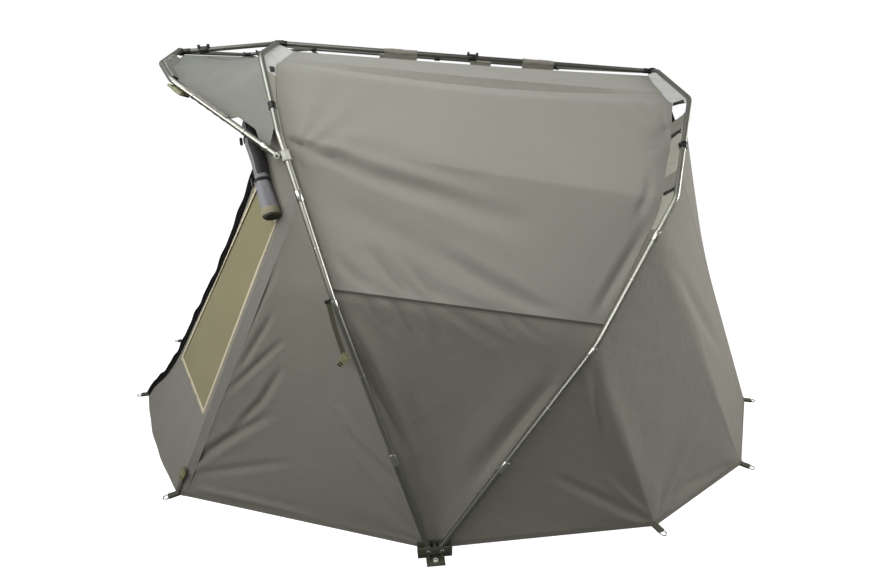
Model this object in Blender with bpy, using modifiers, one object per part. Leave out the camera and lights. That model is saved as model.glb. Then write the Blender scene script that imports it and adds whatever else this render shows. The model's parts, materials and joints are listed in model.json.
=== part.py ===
"""Bivvy tent: two folding ribs on ground hubs, a peak rib, roof bars and the fabric shell inside them.

Metres, +Z up.  The door faces -X, the near side is -Y, and the tent is symmetric about Y = 0.
The origin lies on the ground, in the middle of the tent's length and width.
"""
import math

import bpy
import bmesh
from mathutils import Matrix, Vector

# Footprint: pegging points, forward or rearward of the hub line, and their half widths
HUB_HALF_SPAN = 1.372
FRONT_CORNER_AHEAD = 0.920
FRONT_CORNER_HALF = 1.000
DOOR_CORNER_AHEAD = 1.270
DOOR_CORNER_HALF = 0.280
REAR_SIDE_BEHIND = 0.770
REAR_SIDE_HALF = 1.335
REAR_QUARTER_BEHIND = 1.260
REAR_QUARTER_HALF = 1.060
REAR_CORNER_BEHIND = 1.550
REAR_CORNER_HALF = 0.630

# Ribs: lean from upright, and bends in the rib's own plane as half width and height up from the pin
FRONT_LEAN = math.radians(16.0)
REAR_LEAN = math.radians(31.6)
PIN_UP = 0.028
PIN_HALF_GAP = 0.022
REAR_KNEE_HALF = 1.385
FRONT_KNEE_HALF = 1.338
REAR_BEND_HALF = 1.255
FRONT_BEND_HALF = 1.200
FRONT_SHOULDER_HALF = 1.030
REAR_SHOULDER_HALF = 0.968
TOP_HALF = 0.630
FRONT_KNEE_UP = 0.903
FRONT_BEND_UP = 1.345
FRONT_SHOULDER_UP = 1.540
FRONT_TOP_UP = 1.580
REAR_KNEE_UP = 0.830
REAR_BEND_UP = 1.297
REAR_SHOULDER_UP = 1.588
REAR_TOP_UP = 1.677
KNEE_RADIUS = 0.260
BEND_RADIUS = 0.060
SHOULDER_RADIUS = 0.090
TOP_RADIUS = 0.060

# Rib tubes
LEG_RADIUS = 0.0095
LEG_LENGTH = 0.345
ARCH_RADIUS = 0.0080
FERRULE_RADIUS = 0.0108
FERRULE_LENGTH = 0.040
JOINT_RADIUS = 0.0094
JOINT_LENGTH = 0.030
UPPER_JOINT_UP = 1.195
CLIP_RADIUS = 0.0125
CLIP_LENGTH = 0.022
FRONT_CLIP_UP = 1.422
REAR_CLIP_UP = 1.457
SWELL_RAMP = 0.003

# Hubs
HUB_LENGTH = 0.112
HUB_WIDTH = 0.034
HUB_HEIGHT = 0.040
HUB_EDGE = 0.003
HUB_GAP = 0.0022
EYE_RADIUS = 0.0115
EYE_WIDTH = 0.0200
PIN_RADIUS = 0.0040
PIN_PLATE_LENGTH = 0.078
PIN_PLATE_HEIGHT = 0.020
PIN_PLATE_THICK = 0.0030
PIN_HEAD_RADIUS = 0.0075
PIN_HEAD_THICK = 0.0035
FOOT_LENGTH = 0.060
FOOT_REACH = 0.036
FOOT_THICK = 0.006
FOOT_SCREW_RADIUS = 0.009
FOOT_SCREW_HEIGHT = 0.004

# Peak: a hood rib hinged on brackets of the front rib
BRACKET_UP = 1.285
BRACKET_AHEAD = 0.022
BRACKET_RADIUS = 0.0115
BRACKET_HEIGHT = 0.028
BRACKET_LUG_THICK = 0.008
PEAK_RISE = math.radians(31.5)
PEAK_RADIUS = 0.0080
PEAK_ELBOW_HALF = 1.065
PEAK_ELBOW_OUT = 0.330
PEAK_CORNER_HALF = 0.930
PEAK_CORNER_OUT = 0.402
PEAK_TOP_HALF = 0.580
PEAK_TOP_OUT = 0.467
PEAK_EYE_RADIUS = 0.0095
PEAK_EYE_WIDTH = 0.0100

# Roof bars between the ribs, and hood bars from the front rib to the peak rib
BAR_RADIUS = 0.0075
RIDGE_BAR_HALF = 0.585
PEAK_BAR_HALF = 0.545
BAR_RING_RADIUS = 0.0125
BAR_RING_WIDTH = 0.022
HOOK_DROP = 0.012
HOOK_THICK = 0.006
HOOK_WIDTH = 0.013
BAR_OVERHANG = 0.012
BAR_CLIP_RADIUS = 0.0120
BAR_CLIP_LENGTH = 0.030
BAR_CLIP_EAR = 0.014
BAR_CLIP_EAR_THICK = 0.005
SLEEVE_RADIUS = 0.0125
SLEEVE_LENGTH = 0.115
SLEEVE_SHARES = (0.325, 0.695)
RIDGE_CLIP_SHARE = 0.505
PEAK_CLIP_SHARE = 0.24

# Fabric
FABRIC_THICK = 0.0020
HEM_UP = 0.0020
EDGE_TRIM = 0.00035
CANOPY_SAG = 0.030
ROOF_SAG_SHARE = 0.2
LOWER_SAG = 0.030
REAR_SAG = 0.050
FRONT_SAG = 0.022
PEAK_SAG = 0.030
FOLD_DEPTH = 0.008
FOLD_TOP_UP = 1.213
ZIP_ABOVE_BRACKET = 0.113
REAR_QUARTER_UP = 1.218
REAR_CORNER_UP = 1.403
HOOD_EDGE_UP = 1.378
HOOD_DROP = 0.0024
FRONT_SEAM_UP = 0.925
REAR_SEAM_UP = 0.894
PANEL_DROP = 0.0056
APEX_WIDTH = 0.014

# Window in each front panel, as shares of the panel across and up
WINDOW_LOW_ACROSS_SHARES = (0.05, 0.70)
WINDOW_LOW_UP_SHARES = (0.320, 0.320)
WINDOW_HIGH_ACROSS_SHARES = (0.06, 0.74)
WINDOW_HIGH_UP_SHARES = (0.900, 0.900)
MESH_THICK = 0.0012

# Door roll, zips, gussets, pegging tabs and buckles
ROLL_RADIUS = 0.025
ROLL_LINE = (
    (-0.4307, -1.2095, 1.0986),
    (-0.4407, -1.1865, 1.1306),
    (-0.4495, -1.1675, 1.1575),
    (-0.4591, -1.1427, 1.1967),
    (-0.4691, -1.1202, 1.2371),
    (-0.4840, -1.0941, 1.2756),
    (-0.4949, -1.0424, 1.3173),
    (-0.496, -0.940, 1.360),
    (-0.500, -0.800, 1.402),
    (-0.500, -0.600, 1.438),
    (-0.500, -0.300, 1.455),
    (-0.500, 0, 1.459),
)
ZIP_WIDTH = 0.022
ZIP_THICK = 0.0025
ZIP_LOW_SHARE = 0.012
ZIP_HIGH_SHARE = 0.90
SLIDER_LENGTH = 0.030
SLIDER_WIDTH = 0.014
SLIDER_THICK = 0.008
GUSSET_THICK = 0.0016
TAB_WIDTH = 0.024
TAB_LENGTH = 0.030
TAB_THICK = 0.0026
RING_RADIUS = 0.013
RING_WIRE = 0.0022
BUCKLE_LENGTH = 0.042
BUCKLE_WIDTH = 0.030
BUCKLE_THICK = 0.009

# Clearances and resolution
CLEAR = 0.0003
CUT_OVERRUN = 0.010
TUBE_ROUND_COUNT = 2
ROUND_SIDES = 20

REAR_REACH = REAR_CORNER_BEHIND + TAB_LENGTH + RING_RADIUS
FRONT_REACH = DOOR_CORNER_AHEAD + TAB_LENGTH + RING_RADIUS
HUB_X = (FRONT_REACH - REAR_REACH) / 2
FABRIC_INSET = HUB_WIDTH / 2 + HUB_GAP + FABRIC_THICK
INSIDE_POINT = Vector((0, 0, FRONT_KNEE_UP / 2))
NEAR, FAR = -1, 1
SIDES = (("near", NEAR), ("far", FAR))
FRONT, REAR = -1, 1
LEAN = {FRONT: FRONT_LEAN, REAR: REAR_LEAN}
CORNERS = {
    FRONT: (
        (HUB_HALF_SPAN, 0),
        (FRONT_KNEE_HALF, FRONT_KNEE_UP),
        (FRONT_BEND_HALF, FRONT_BEND_UP),
        (FRONT_SHOULDER_HALF, FRONT_SHOULDER_UP),
        (TOP_HALF, FRONT_TOP_UP),
    ),
    REAR: (
        (HUB_HALF_SPAN, 0),
        (REAR_KNEE_HALF, REAR_KNEE_UP),
        (REAR_BEND_HALF, REAR_BEND_UP),
        (REAR_SHOULDER_HALF, REAR_SHOULDER_UP),
        (TOP_HALF, REAR_TOP_UP),
    ),
}
CORNER_RADII = (0, KNEE_RADIUS, BEND_RADIUS, SHOULDER_RADIUS, TOP_RADIUS)


def clear_scene():
    """Remove every object, so that only this model is left."""
    for item in list(bpy.data.objects):
        bpy.data.objects.remove(item, do_unlink=True)


def collection(name):
    """Make a collection under the scene's own."""
    made = bpy.data.collections.new(name)
    bpy.context.scene.collection.children.link(made)
    return made


clear_scene()
PARTS = collection("bivvy_tent")
CUTTERS = collection("cutters")
MATERIALS = {}


def material(name, color, roughness, metallic=0.0):
    """One Principled material for each finish."""
    if name not in MATERIALS:
        made = bpy.data.materials.new(name)
        made.use_nodes = True
        shader = made.node_tree.nodes["Principled BSDF"]
        shader.inputs["Base Color"].default_value = (*color, 1.0)
        shader.inputs["Roughness"].default_value = roughness
        shader.inputs["Metallic"].default_value = metallic
        MATERIALS[name] = made
    return MATERIALS[name]


def finish(name):
    """The tent's finishes by name."""
    table = {
        "aluminium": ((0.34, 0.34, 0.31), 0.38, 0.9),
        "hub": ((0.07, 0.075, 0.05), 0.6, 0.0),
        "steel": ((0.6, 0.6, 0.58), 0.35, 1.0),
        "black_plastic": ((0.012, 0.012, 0.011), 0.5, 0.0),
        "olive_plastic": ((0.26, 0.27, 0.14), 0.5, 0.0),
        "roof_fabric": ((0.26, 0.28, 0.25), 0.8, 0.0),
        "wall_fabric": ((0.16, 0.15, 0.125), 0.85, 0.0),
        "mesh": ((0.26, 0.24, 0.12), 0.9, 0.0),
        "gusset_fabric": ((0.42, 0.42, 0.42), 0.75, 0.0),
        "zip": ((0.01, 0.01, 0.009), 0.7, 0.0),
        "webbing": ((0.05, 0.05, 0.035), 0.85, 0.0),
    }
    color, roughness, metallic = table[name]
    return material(name, color, roughness, metallic)


def place(mesh_data, name, look):
    """Link a mesh as a finished part."""
    item = bpy.data.objects.new(name, mesh_data)
    PARTS.objects.link(item)
    item.data.materials.clear()
    item.data.materials.append(finish(look))
    return item


def cutter(item):
    """Hide an object that only cuts others."""
    for group in list(item.users_collection):
        group.objects.unlink(item)
    CUTTERS.objects.link(item)
    item.hide_render = True
    item.display_type = "WIRE"
    return item


def bake(item):
    """Turn an object with its modifiers into a plain welded mesh object, and return it."""
    bpy.context.view_layer.update()
    graph = bpy.context.evaluated_depsgraph_get()
    data = bpy.data.meshes.new_from_object(item.evaluated_get(graph))
    shape = bmesh.new()
    shape.from_mesh(data)
    bmesh.ops.remove_doubles(shape, verts=shape.verts, dist=CLEAR / 30)
    shape.to_mesh(data)
    shape.free()
    data.transform(item.matrix_world)
    made = bpy.data.objects.new(item.name, data)
    for group in list(item.users_collection):
        group.objects.link(made)
    name = item.name
    looks = [slot.material for slot in item.material_slots]
    bpy.data.objects.remove(item, do_unlink=True)
    made.name = name
    made.data.name = name
    made.data.materials.clear()
    for look in looks:
        made.data.materials.append(look)
    return made


def boolean(item, other, operation):
    """Join, cut or intersect with another object, which then only cuts."""
    step = item.modifiers.new(operation.lower(), "BOOLEAN")
    step.operation = operation
    step.solver = "EXACT"
    step.object = cutter(other)
    return item


def combine(item, joined=(), cut=()):
    """Union some shapes with an object, cut others out of it, and bake the result."""
    for other in joined:
        boolean(item, other, "UNION")
    for other in cut:
        boolean(item, other, "DIFFERENCE")
    made = bake(item)
    for other in (*joined, *cut):
        bpy.data.objects.remove(other, do_unlink=True)
    return made


def smooth(item, angle=math.radians(40)):
    """Shade round parts smooth."""
    item.data.shade_smooth()
    item.data.set_sharp_from_angle(angle=angle)
    return item


def block(name, size, centre, look, turn=None, edge=0):
    """A box of the given size, with bevelled edges if asked for."""
    shape = bmesh.new()
    bmesh.ops.create_cube(shape, size=1.0)
    shape.transform(Matrix.Diagonal((*size, 1)))
    if edge:
        bmesh.ops.bevel(shape, geom=shape.edges[:], offset=edge, segments=2, affect="EDGES", profile=0.5)
    if turn:
        shape.transform(turn)
    shape.transform(Matrix.Translation(centre))
    data = bpy.data.meshes.new(name)
    shape.to_mesh(data)
    shape.free()
    return place(data, name, look)


def round_bar(name, radius, start, end, look, sides=ROUND_SIDES):
    """A cylinder between two points."""
    start, end = Vector(start), Vector(end)
    along = end - start
    shape = bmesh.new()
    bmesh.ops.create_cone(
        shape, cap_ends=True, segments=sides, radius1=radius, radius2=radius, depth=along.length
    )
    shape.transform(along.to_track_quat("Z", "Y").to_matrix().to_4x4())
    shape.transform(Matrix.Translation((start + end) / 2))
    data = bpy.data.meshes.new(name)
    shape.to_mesh(data)
    shape.free()
    return place(data, name, look)


def tube(name, points, radius, look, factors=None):
    """A round tube along points, whose radius may swell by the given factors."""
    curve = bpy.data.curves.new(name, "CURVE")
    curve.dimensions = "3D"
    curve.bevel_depth = radius
    curve.bevel_resolution = TUBE_ROUND_COUNT
    curve.use_fill_caps = True
    line = curve.splines.new("POLY")
    line.points.add(len(points) - 1)
    for index, point in enumerate(points):
        line.points[index].co = (*point, 1)
        line.points[index].radius = factors[index] if factors else 1
    item = bpy.data.objects.new(name, curve)
    PARTS.objects.link(item)
    item.data.materials.append(finish(look))
    return smooth(bake(item))


def rounded(corners, radii, run_steps=1, turn_steps=6):
    """Points along straight runs, with each inner corner turned on about its radius.

    Every run and every turn gets the same number of steps, so that two such lines match.
    """
    corners = [Vector(corner) for corner in corners]
    starts, ends, turns = [], [], []
    for index, corner in enumerate(corners):
        if index in (0, len(corners) - 1):
            starts.append(corner)
            ends.append(corner)
            turns.append([])
            continue
        back = corners[index - 1] - corner
        ahead = corners[index + 1] - corner
        bend = math.pi - back.angle(ahead)
        reach = min(radii[index] * math.tan(bend / 2), 0.45 * back.length, 0.45 * ahead.length)
        first = corner + back.normalized() * reach
        last = corner + ahead.normalized() * reach
        starts.append(first)
        ends.append(last)
        arc = []
        for step in range(1, turn_steps):
            share = step / turn_steps
            arc.append(first.lerp(corner, share).lerp(corner.lerp(last, share), share))
        turns.append(arc)
    points = [corners[0]]
    for index in range(1, len(corners)):
        for step in range(1, run_steps + 1):
            points.append(ends[index - 1].lerp(starts[index], step / run_steps))
        if index < len(corners) - 1:
            points.extend(turns[index])
            points.append(ends[index])
    return points


def rib_world(rib, side, half, up):
    """A point of a rib's plane in the world: half width, and height up the plane from the pin."""
    across = HUB_X + rib * (PIN_HALF_GAP + up * math.sin(LEAN[rib]))
    return Vector((across, side * half, PIN_UP + up * math.cos(LEAN[rib])))


def inset_profile(rib, distance):
    """The rib's corner profile moved inward, towards the tent's middle, in the rib's plane."""
    corners = [Vector(corner) for corner in CORNERS[rib]] + [Vector((0, CORNERS[rib][-1][1]))]
    moved = []
    for index, corner in enumerate(corners[:-1]):
        after = (corners[index + 1] - corner).normalized()
        before = (corner - corners[index - 1]).normalized() if index else after
        inward = (Vector((-after.y, after.x)) + Vector((-before.y, before.x))).normalized()
        lean_in = inward.dot(Vector((-after.y, after.x)))
        moved.append(corner + inward * distance / lean_in)
    return moved


def profile_at(profile, up):
    """The point of a profile at a given height up the rib's plane."""
    for low, high in zip(profile, profile[1:]):
        if low.y <= up <= high.y:
            return low.lerp(high, (up - low.y) / (high.y - low.y))
    return profile[0] + (profile[1] - profile[0]) * (up - profile[0].y) / (profile[1].y - profile[0].y)


def hem_up(rib):
    """Height up the rib's plane at which its fabric line meets the hem."""
    return (HEM_UP - PIN_UP) / math.cos(LEAN[rib])


def fabric_line(rib, side, low, high, run_steps, inset=FABRIC_INSET):
    """The fabric's line under one side of a rib, between two heights up its plane."""
    profile = inset_profile(rib, inset)
    inner = [
        (point, radius)
        for point, radius in list(zip(profile, CORNER_RADII))[1:]
        if low < point.y < high
    ]
    corners = [profile_at(profile, low)] + [point for point, _ in inner] + [profile_at(profile, high)]
    radii = [0] + [max(radius - inset, CUT_OVERRUN) for _, radius in inner] + [0]
    flat = rounded([(*point, 0) for point in corners], radii, run_steps, 2)
    return [rib_world(rib, side, point.x, point.y) for point in flat]


def fabric_arch(rib, low, run_steps, inset=FABRIC_INSET):
    """The fabric's line over the whole rib, from one side to the other."""
    profile = inset_profile(rib, inset)
    inner = [(point, radius) for point, radius in zip(profile, CORNER_RADII) if point.y > low]
    corners = [profile_at(profile, low)] + [point for point, _ in inner]
    radii = [0] + [max(radius - inset, CUT_OVERRUN) for _, radius in inner]
    whole = [(point.x, point.y, 0) for point in corners] + [(-point.x, point.y, 0) for point in corners[::-1]]
    flat = rounded(whole, radii + radii[::-1], run_steps, 2)
    return [rib_world(rib, NEAR, point.x, point.y) for point in flat]


def straight(start, end, steps):
    """Evenly spaced points between two ends."""
    return [Vector(start).lerp(Vector(end), step / steps) for step in range(steps + 1)]


def resample(points, steps):
    """The same line with evenly spaced points."""
    lengths = [0]
    for before, after in zip(points, points[1:]):
        lengths.append(lengths[-1] + (after - before).length)
    made = []
    for step in range(steps + 1):
        want = lengths[-1] * step / steps
        index = max(i for i, length in enumerate(lengths) if length <= want + CLEAR / 100)
        index = min(index, len(points) - 2)
        run = lengths[index + 1] - lengths[index]
        made.append(points[index].lerp(points[index + 1], (want - lengths[index]) / run))
    return made


def row_normal(line_a, line_b, row):
    """The normal of a ruled sheet at one of its rows."""
    before, after = max(row - 1, 0), min(row + 1, len(line_a) - 1)
    run = (line_a[after] - line_a[before]).normalized() + (line_b[after] - line_b[before]).normalized()
    return run.cross(line_b[row] - line_a[row]).normalized()


def cloth(name, lines, steps, look, depths=(0,), folds=(None,), thick=FABRIC_THICK, facing=1):
    """A sheet ruled between lines of equal count, with its thickness on the outside.

    Each strip between two lines has its own steps across, inward sag and folds.  A facing of -1
    puts the thickness on the inside.
    """
    count = len(lines[0])
    half = count // 2
    shape = bmesh.new()
    grid = [[] for _ in range(count)]
    last = len(lines) - 2
    for strip_index, (line_a, line_b) in enumerate(zip(lines, lines[1:])):
        middle = (line_a[half] + line_b[half]) / 2
        outward = row_normal(line_a, line_b, half)
        way = 1 if outward.dot(middle - INSIDE_POINT) > 0 else -1
        for row in range(count):
            outward = row_normal(line_a, line_b, row) * way
            start, end = line_a[row], line_b[row]
            trim = EDGE_TRIM / (end - start).length
            first = trim if strip_index == 0 else 0
            final = 1 - (trim if strip_index == last else 0)
            up = row / (count - 1)
            across_steps = steps[strip_index]
            depth = depths[strip_index]
            deep = depth(up) if callable(depth) else depth * math.sin(math.pi * up)
            for step in range(0 if strip_index == 0 else 1, across_steps + 1):
                share = first + (final - first) * step / across_steps
                hollow = deep * math.sin(math.pi * share)
                fold = folds[strip_index]
                ripple = fold(up, share) if fold else 0
                grid[row].append(shape.verts.new(start.lerp(end, share) + outward * (ripple - hollow)))
    for lower, upper in zip(grid, grid[1:]):
        for index in range(len(lower) - 1):
            shape.faces.new((lower[index], lower[index + 1], upper[index + 1], upper[index]))
    shape.faces.ensure_lookup_table()
    shape.normal_update()
    face = shape.faces[len(shape.faces) // 2]
    if face.normal.dot(face.calc_center_median() - INSIDE_POINT) * facing < 0:
        bmesh.ops.reverse_faces(shape, faces=shape.faces[:])
    data = bpy.data.meshes.new(name)
    shape.to_mesh(data)
    shape.free()
    item = place(data, name, look)
    wall = item.modifiers.new("wall", "SOLIDIFY")
    wall.thickness = thick
    wall.offset = 1
    wall.use_even_offset = True
    return smooth(bake(item), math.radians(30))


def fan_folds(corner_share, rays, depth=FOLD_DEPTH):
    """Folds that spread from the lower corner at one side of a sheet and die out at its edges."""
    def fold(up, across):
        reach = across if corner_share == 0 else 1 - across
        turn = math.atan2(up, max(reach, 1e-6))
        fade = math.sin(math.pi * across) * math.sin(math.pi * up)
        return depth * math.cos(rays * turn) * fade
    return fold


def swollen(points, swells, radius):
    """Add points and radius factors where a tube carries a ferrule or clip.

    Each swell is a distance along the tube, a length and a radius.
    """
    lengths = [0]
    for before, after in zip(points, points[1:]):
        lengths.append(lengths[-1] + (Vector(after) - Vector(before)).length)
    marks = {length: 1 for length in lengths}
    for start, length, wide in swells:
        for mark in [mark for mark in marks if start - SWELL_RAMP < mark < start + length + SWELL_RAMP]:
            marks[mark] = wide / radius
        first = max(start - SWELL_RAMP, 0)
        if first > 0:
            marks[first] = 1
        marks[start] = wide / radius
        marks[min(start + length, lengths[-1])] = wide / radius
        if start + length + SWELL_RAMP < lengths[-1]:
            marks[start + length + SWELL_RAMP] = 1
    made, factors = [], []
    for mark in sorted(marks):
        index = max(i for i, length in enumerate(lengths) if length <= mark + CLEAR / 100)
        index = min(index, len(points) - 2)
        run = lengths[index + 1] - lengths[index]
        made.append(Vector(points[index]).lerp(Vector(points[index + 1]), (mark - lengths[index]) / run))
        factors.append(marks[mark])
    return made, factors


def corner_points():
    """The pegging points on the ground by name, for the near side."""
    return {
        "front": Vector((HUB_X - FRONT_CORNER_AHEAD, -FRONT_CORNER_HALF, HEM_UP)),
        "door": Vector((HUB_X - DOOR_CORNER_AHEAD, -DOOR_CORNER_HALF, HEM_UP)),
        "side": Vector((HUB_X + REAR_SIDE_BEHIND, -REAR_SIDE_HALF, HEM_UP)),
        "quarter": Vector((HUB_X + REAR_QUARTER_BEHIND, -REAR_QUARTER_HALF, HEM_UP)),
        "rear": Vector((HUB_X + REAR_CORNER_BEHIND, -REAR_CORNER_HALF, HEM_UP)),
    }


def mirrored(point, side):
    """A near-side point taken to the asked side."""
    return Vector((point.x, point.y * -side, point.z))


def make_hubs():
    """Ground hubs: a slotted block with a foot, and a plate whose two pins carry the ribs."""
    slot_floor = PIN_UP - EYE_RADIUS - 2 * CLEAR
    for name, side in SIDES:
        middle = side * HUB_HALF_SPAN
        body = block(
            "hub_" + name, (HUB_LENGTH, HUB_WIDTH, HUB_HEIGHT),
            (HUB_X, middle, HUB_HEIGHT / 2), "hub", edge=HUB_EDGE,
        )
        outer = middle + side * HUB_WIDTH / 2
        foot = block(
            "foot", (FOOT_LENGTH, FOOT_REACH + HUB_WIDTH / 2, FOOT_THICK),
            (HUB_X, outer + side * (FOOT_REACH - HUB_WIDTH / 2) / 2, FOOT_THICK / 2), "hub",
        )
        screw_y = outer + side * FOOT_REACH / 2
        screw = round_bar(
            "screw", FOOT_SCREW_RADIUS, (HUB_X, screw_y, FOOT_THICK / 2),
            (HUB_X, screw_y, FOOT_THICK + FOOT_SCREW_HEIGHT), "hub",
        )
        slot = block(
            "slot", (HUB_LENGTH + CUT_OVERRUN, EYE_WIDTH + 2 * CLEAR, HUB_HEIGHT),
            (HUB_X, middle, slot_floor + HUB_HEIGHT / 2), "hub",
        )
        holes = [
            round_bar(
                "hole", PIN_RADIUS + CLEAR,
                (HUB_X + rib * PIN_HALF_GAP, middle - HUB_WIDTH, PIN_UP),
                (HUB_X + rib * PIN_HALF_GAP, middle + HUB_WIDTH, PIN_UP), "hub",
            )
            for rib in (FRONT, REAR)
        ]
        combine(body, (foot, screw), (slot, *holes))
        make_pins(name, side, middle)


def make_pins(name, side, middle):
    """One side plate with both hub pins and their domed heads."""
    face = middle + side * (HUB_WIDTH / 2 + CLEAR)
    plate = block(
        "hub_pins_" + name, (PIN_PLATE_LENGTH, PIN_PLATE_THICK, PIN_PLATE_HEIGHT),
        (HUB_X, face + side * PIN_PLATE_THICK / 2, PIN_UP), "steel",
    )
    studs = []
    for rib in (FRONT, REAR):
        x = HUB_X + rib * PIN_HALF_GAP
        inner = middle - side * HUB_WIDTH / 2
        studs.append(round_bar(
            "stud", PIN_RADIUS, (x, inner, PIN_UP), (x, face + side * PIN_PLATE_THICK / 2, PIN_UP), "steel"
        ))
        studs.append(round_bar(
            "head", PIN_HEAD_RADIUS, (x, face + side * PIN_PLATE_THICK / 2, PIN_UP),
            (x, face + side * (PIN_PLATE_THICK + PIN_HEAD_THICK), PIN_UP), "steel",
        ))
    combine(plate, studs)


def rib_arch_points(rib):
    """The rib's centre line in the world, over the whole arch from leg joint to leg joint."""
    corners = [Vector(corner) for corner in CORNERS[rib]]
    low = profile_at(corners, LEG_LENGTH)
    above = [(point, radius) for point, radius in zip(corners, CORNER_RADII) if point.y > LEG_LENGTH]
    half = [low] + [point for point, _ in above]
    radii = [0] + [radius for _, radius in above]
    whole = [(point.x, point.y, 0) for point in half] + [(-point.x, point.y, 0) for point in half[::-1]]
    flat = rounded(whole, radii + radii[::-1], 1, 6)
    return [rib_world(rib, NEAR, point.x, point.y) for point in flat]


def path_length_to(rib, up):
    """Distance along the arch from its lower end to a height up the rib's plane."""
    points = rib_arch_points(rib)
    total = 0
    want = PIN_UP + up * math.cos(LEAN[rib])
    for before, after in zip(points, points[1:]):
        step = (after - before).length
        if after.z >= want:
            return total + step * (want - before.z) / (after.z - before.z)
        total += step
    return total


def make_rib(rib, word):
    """A rib: two lower legs with eyes on the hub pins, and one arch with its ferrules and clips."""
    points = rib_arch_points(rib)
    total = sum((after - before).length for before, after in zip(points, points[1:]))
    swells = [(0, FERRULE_LENGTH, FERRULE_RADIUS)]
    knee = FRONT_KNEE_UP if rib == FRONT else REAR_KNEE_UP
    clip = FRONT_CLIP_UP if rib == FRONT else REAR_CLIP_UP
    swells.append((path_length_to(rib, knee) - JOINT_LENGTH, JOINT_LENGTH, JOINT_RADIUS))
    swells.append((path_length_to(rib, UPPER_JOINT_UP) - JOINT_LENGTH, JOINT_LENGTH, JOINT_RADIUS))
    swells.append((path_length_to(rib, clip) - CLIP_LENGTH, CLIP_LENGTH, CLIP_RADIUS))
    swells += [(total - start - length, length, wide) for start, length, wide in swells]
    arch, factors = swollen(points, sorted(swells), ARCH_RADIUS)
    tube(word + "_rib_arch", arch, ARCH_RADIUS, "aluminium", factors)
    for name, side in SIDES:
        make_leg(rib, word, name, side)


def make_leg(rib, word, name, side):
    """A rib's lower leg, from the eye on its hub pin to the arch's first ferrule."""
    profile = [Vector(corner) for corner in CORNERS[rib]]
    axis_x = HUB_X + rib * PIN_HALF_GAP
    middle = side * HUB_HALF_SPAN
    top = profile_at(profile, LEG_LENGTH - CLEAR)
    leg = round_bar(
        word + "_rib_leg_" + name, LEG_RADIUS,
        (axis_x, middle, PIN_UP), rib_world(rib, side, top.x, top.y), "aluminium",
    )
    eye = round_bar(
        "eye", EYE_RADIUS, (axis_x, middle - EYE_WIDTH / 2, PIN_UP),
        (axis_x, middle + EYE_WIDTH / 2, PIN_UP), "aluminium",
    )
    hole = round_bar(
        "hole", PIN_RADIUS + CLEAR, (axis_x, middle - EYE_WIDTH, PIN_UP),
        (axis_x, middle + EYE_WIDTH, PIN_UP), "aluminium",
    )
    smooth(combine(leg, (eye,), (hole,)))


def bracket_axis():
    """The hood's hinge line: its X and Z."""
    spot = rib_world(FRONT, NEAR, 0, BRACKET_UP)
    return spot.x - BRACKET_AHEAD, spot.z


def bracket_half():
    """Half width of the front rib at its hood brackets."""
    return profile_at([Vector(corner) for corner in CORNERS[FRONT]], BRACKET_UP).x


def make_brackets():
    """Hood brackets: a collar round the front rib, and a lug whose pin carries the hood rib."""
    axis_x, axis_z = bracket_axis()
    half = bracket_half()
    profile = [Vector(corner) for corner in CORNERS[FRONT]]
    for name, side in SIDES:
        low = profile_at(profile, BRACKET_UP - BRACKET_HEIGHT / 2)
        high = profile_at(profile, BRACKET_UP + BRACKET_HEIGHT / 2)
        foot, head = rib_world(FRONT, side, low.x, low.y), rib_world(FRONT, side, high.x, high.y)
        along = (head - foot).normalized()
        collar = round_bar("peak_bracket_" + name, BRACKET_RADIUS, foot, head, "black_plastic")
        bore = round_bar(
            "bore", ARCH_RADIUS + CLEAR, foot - along * CUT_OVERRUN, head + along * CUT_OVERRUN, "steel"
        )
        inner_y = side * (half - PEAK_EYE_WIDTH / 2 - CLEAR - BRACKET_LUG_THICK / 2)
        centre = (foot + head) / 2
        lug = block(
            "lug", (BRACKET_AHEAD, BRACKET_LUG_THICK, BRACKET_HEIGHT * 0.6),
            (centre.x - BRACKET_AHEAD / 2, inner_y, axis_z), "black_plastic",
        )
        boss = round_bar(
            "boss", BRACKET_HEIGHT * 0.3, (axis_x, inner_y - side * BRACKET_LUG_THICK / 2, axis_z),
            (axis_x, inner_y + side * BRACKET_LUG_THICK / 2, axis_z), "black_plastic",
        )
        pin_end = side * (half + PEAK_EYE_WIDTH / 2 + CLEAR)
        pin = round_bar("pin", PIN_RADIUS, (axis_x, inner_y, axis_z), (axis_x, pin_end, axis_z), "steel")
        head_disc = round_bar(
            "cap", PIN_HEAD_RADIUS, (axis_x, pin_end, axis_z),
            (axis_x, pin_end + side * PIN_HEAD_THICK, axis_z), "steel",
        )
        combine(collar, (lug, boss), (bore,))
        joined = bpy.data.objects["peak_bracket_" + name]
        smooth(combine(joined, (pin, head_disc)))


def peak_world(half, out):
    """A point of the hood rib's plane: Y, and distance out from the hinge line."""
    axis_x, axis_z = bracket_axis()
    return Vector((axis_x - out * math.cos(PEAK_RISE), half, axis_z + out * math.sin(PEAK_RISE)))


def peak_corners(inset=0):
    """The hood rib's corners on one side, moved inward for the fabric."""
    corners = [
        Vector((bracket_half(), 0)),
        Vector((PEAK_ELBOW_HALF, PEAK_ELBOW_OUT)),
        Vector((PEAK_CORNER_HALF, PEAK_CORNER_OUT)),
        Vector((PEAK_TOP_HALF, PEAK_TOP_OUT)),
        Vector((0, PEAK_TOP_OUT)),
    ]
    moved = []
    for index, corner in enumerate(corners[:-1]):
        after = (corners[index + 1] - corner).normalized()
        before = (corner - corners[index - 1]).normalized() if index else after
        inward = (Vector((-after.y, after.x)) + Vector((-before.y, before.x))).normalized()
        moved.append(corner + inward * inset / inward.dot(Vector((-after.y, after.x))))
    return moved


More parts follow.
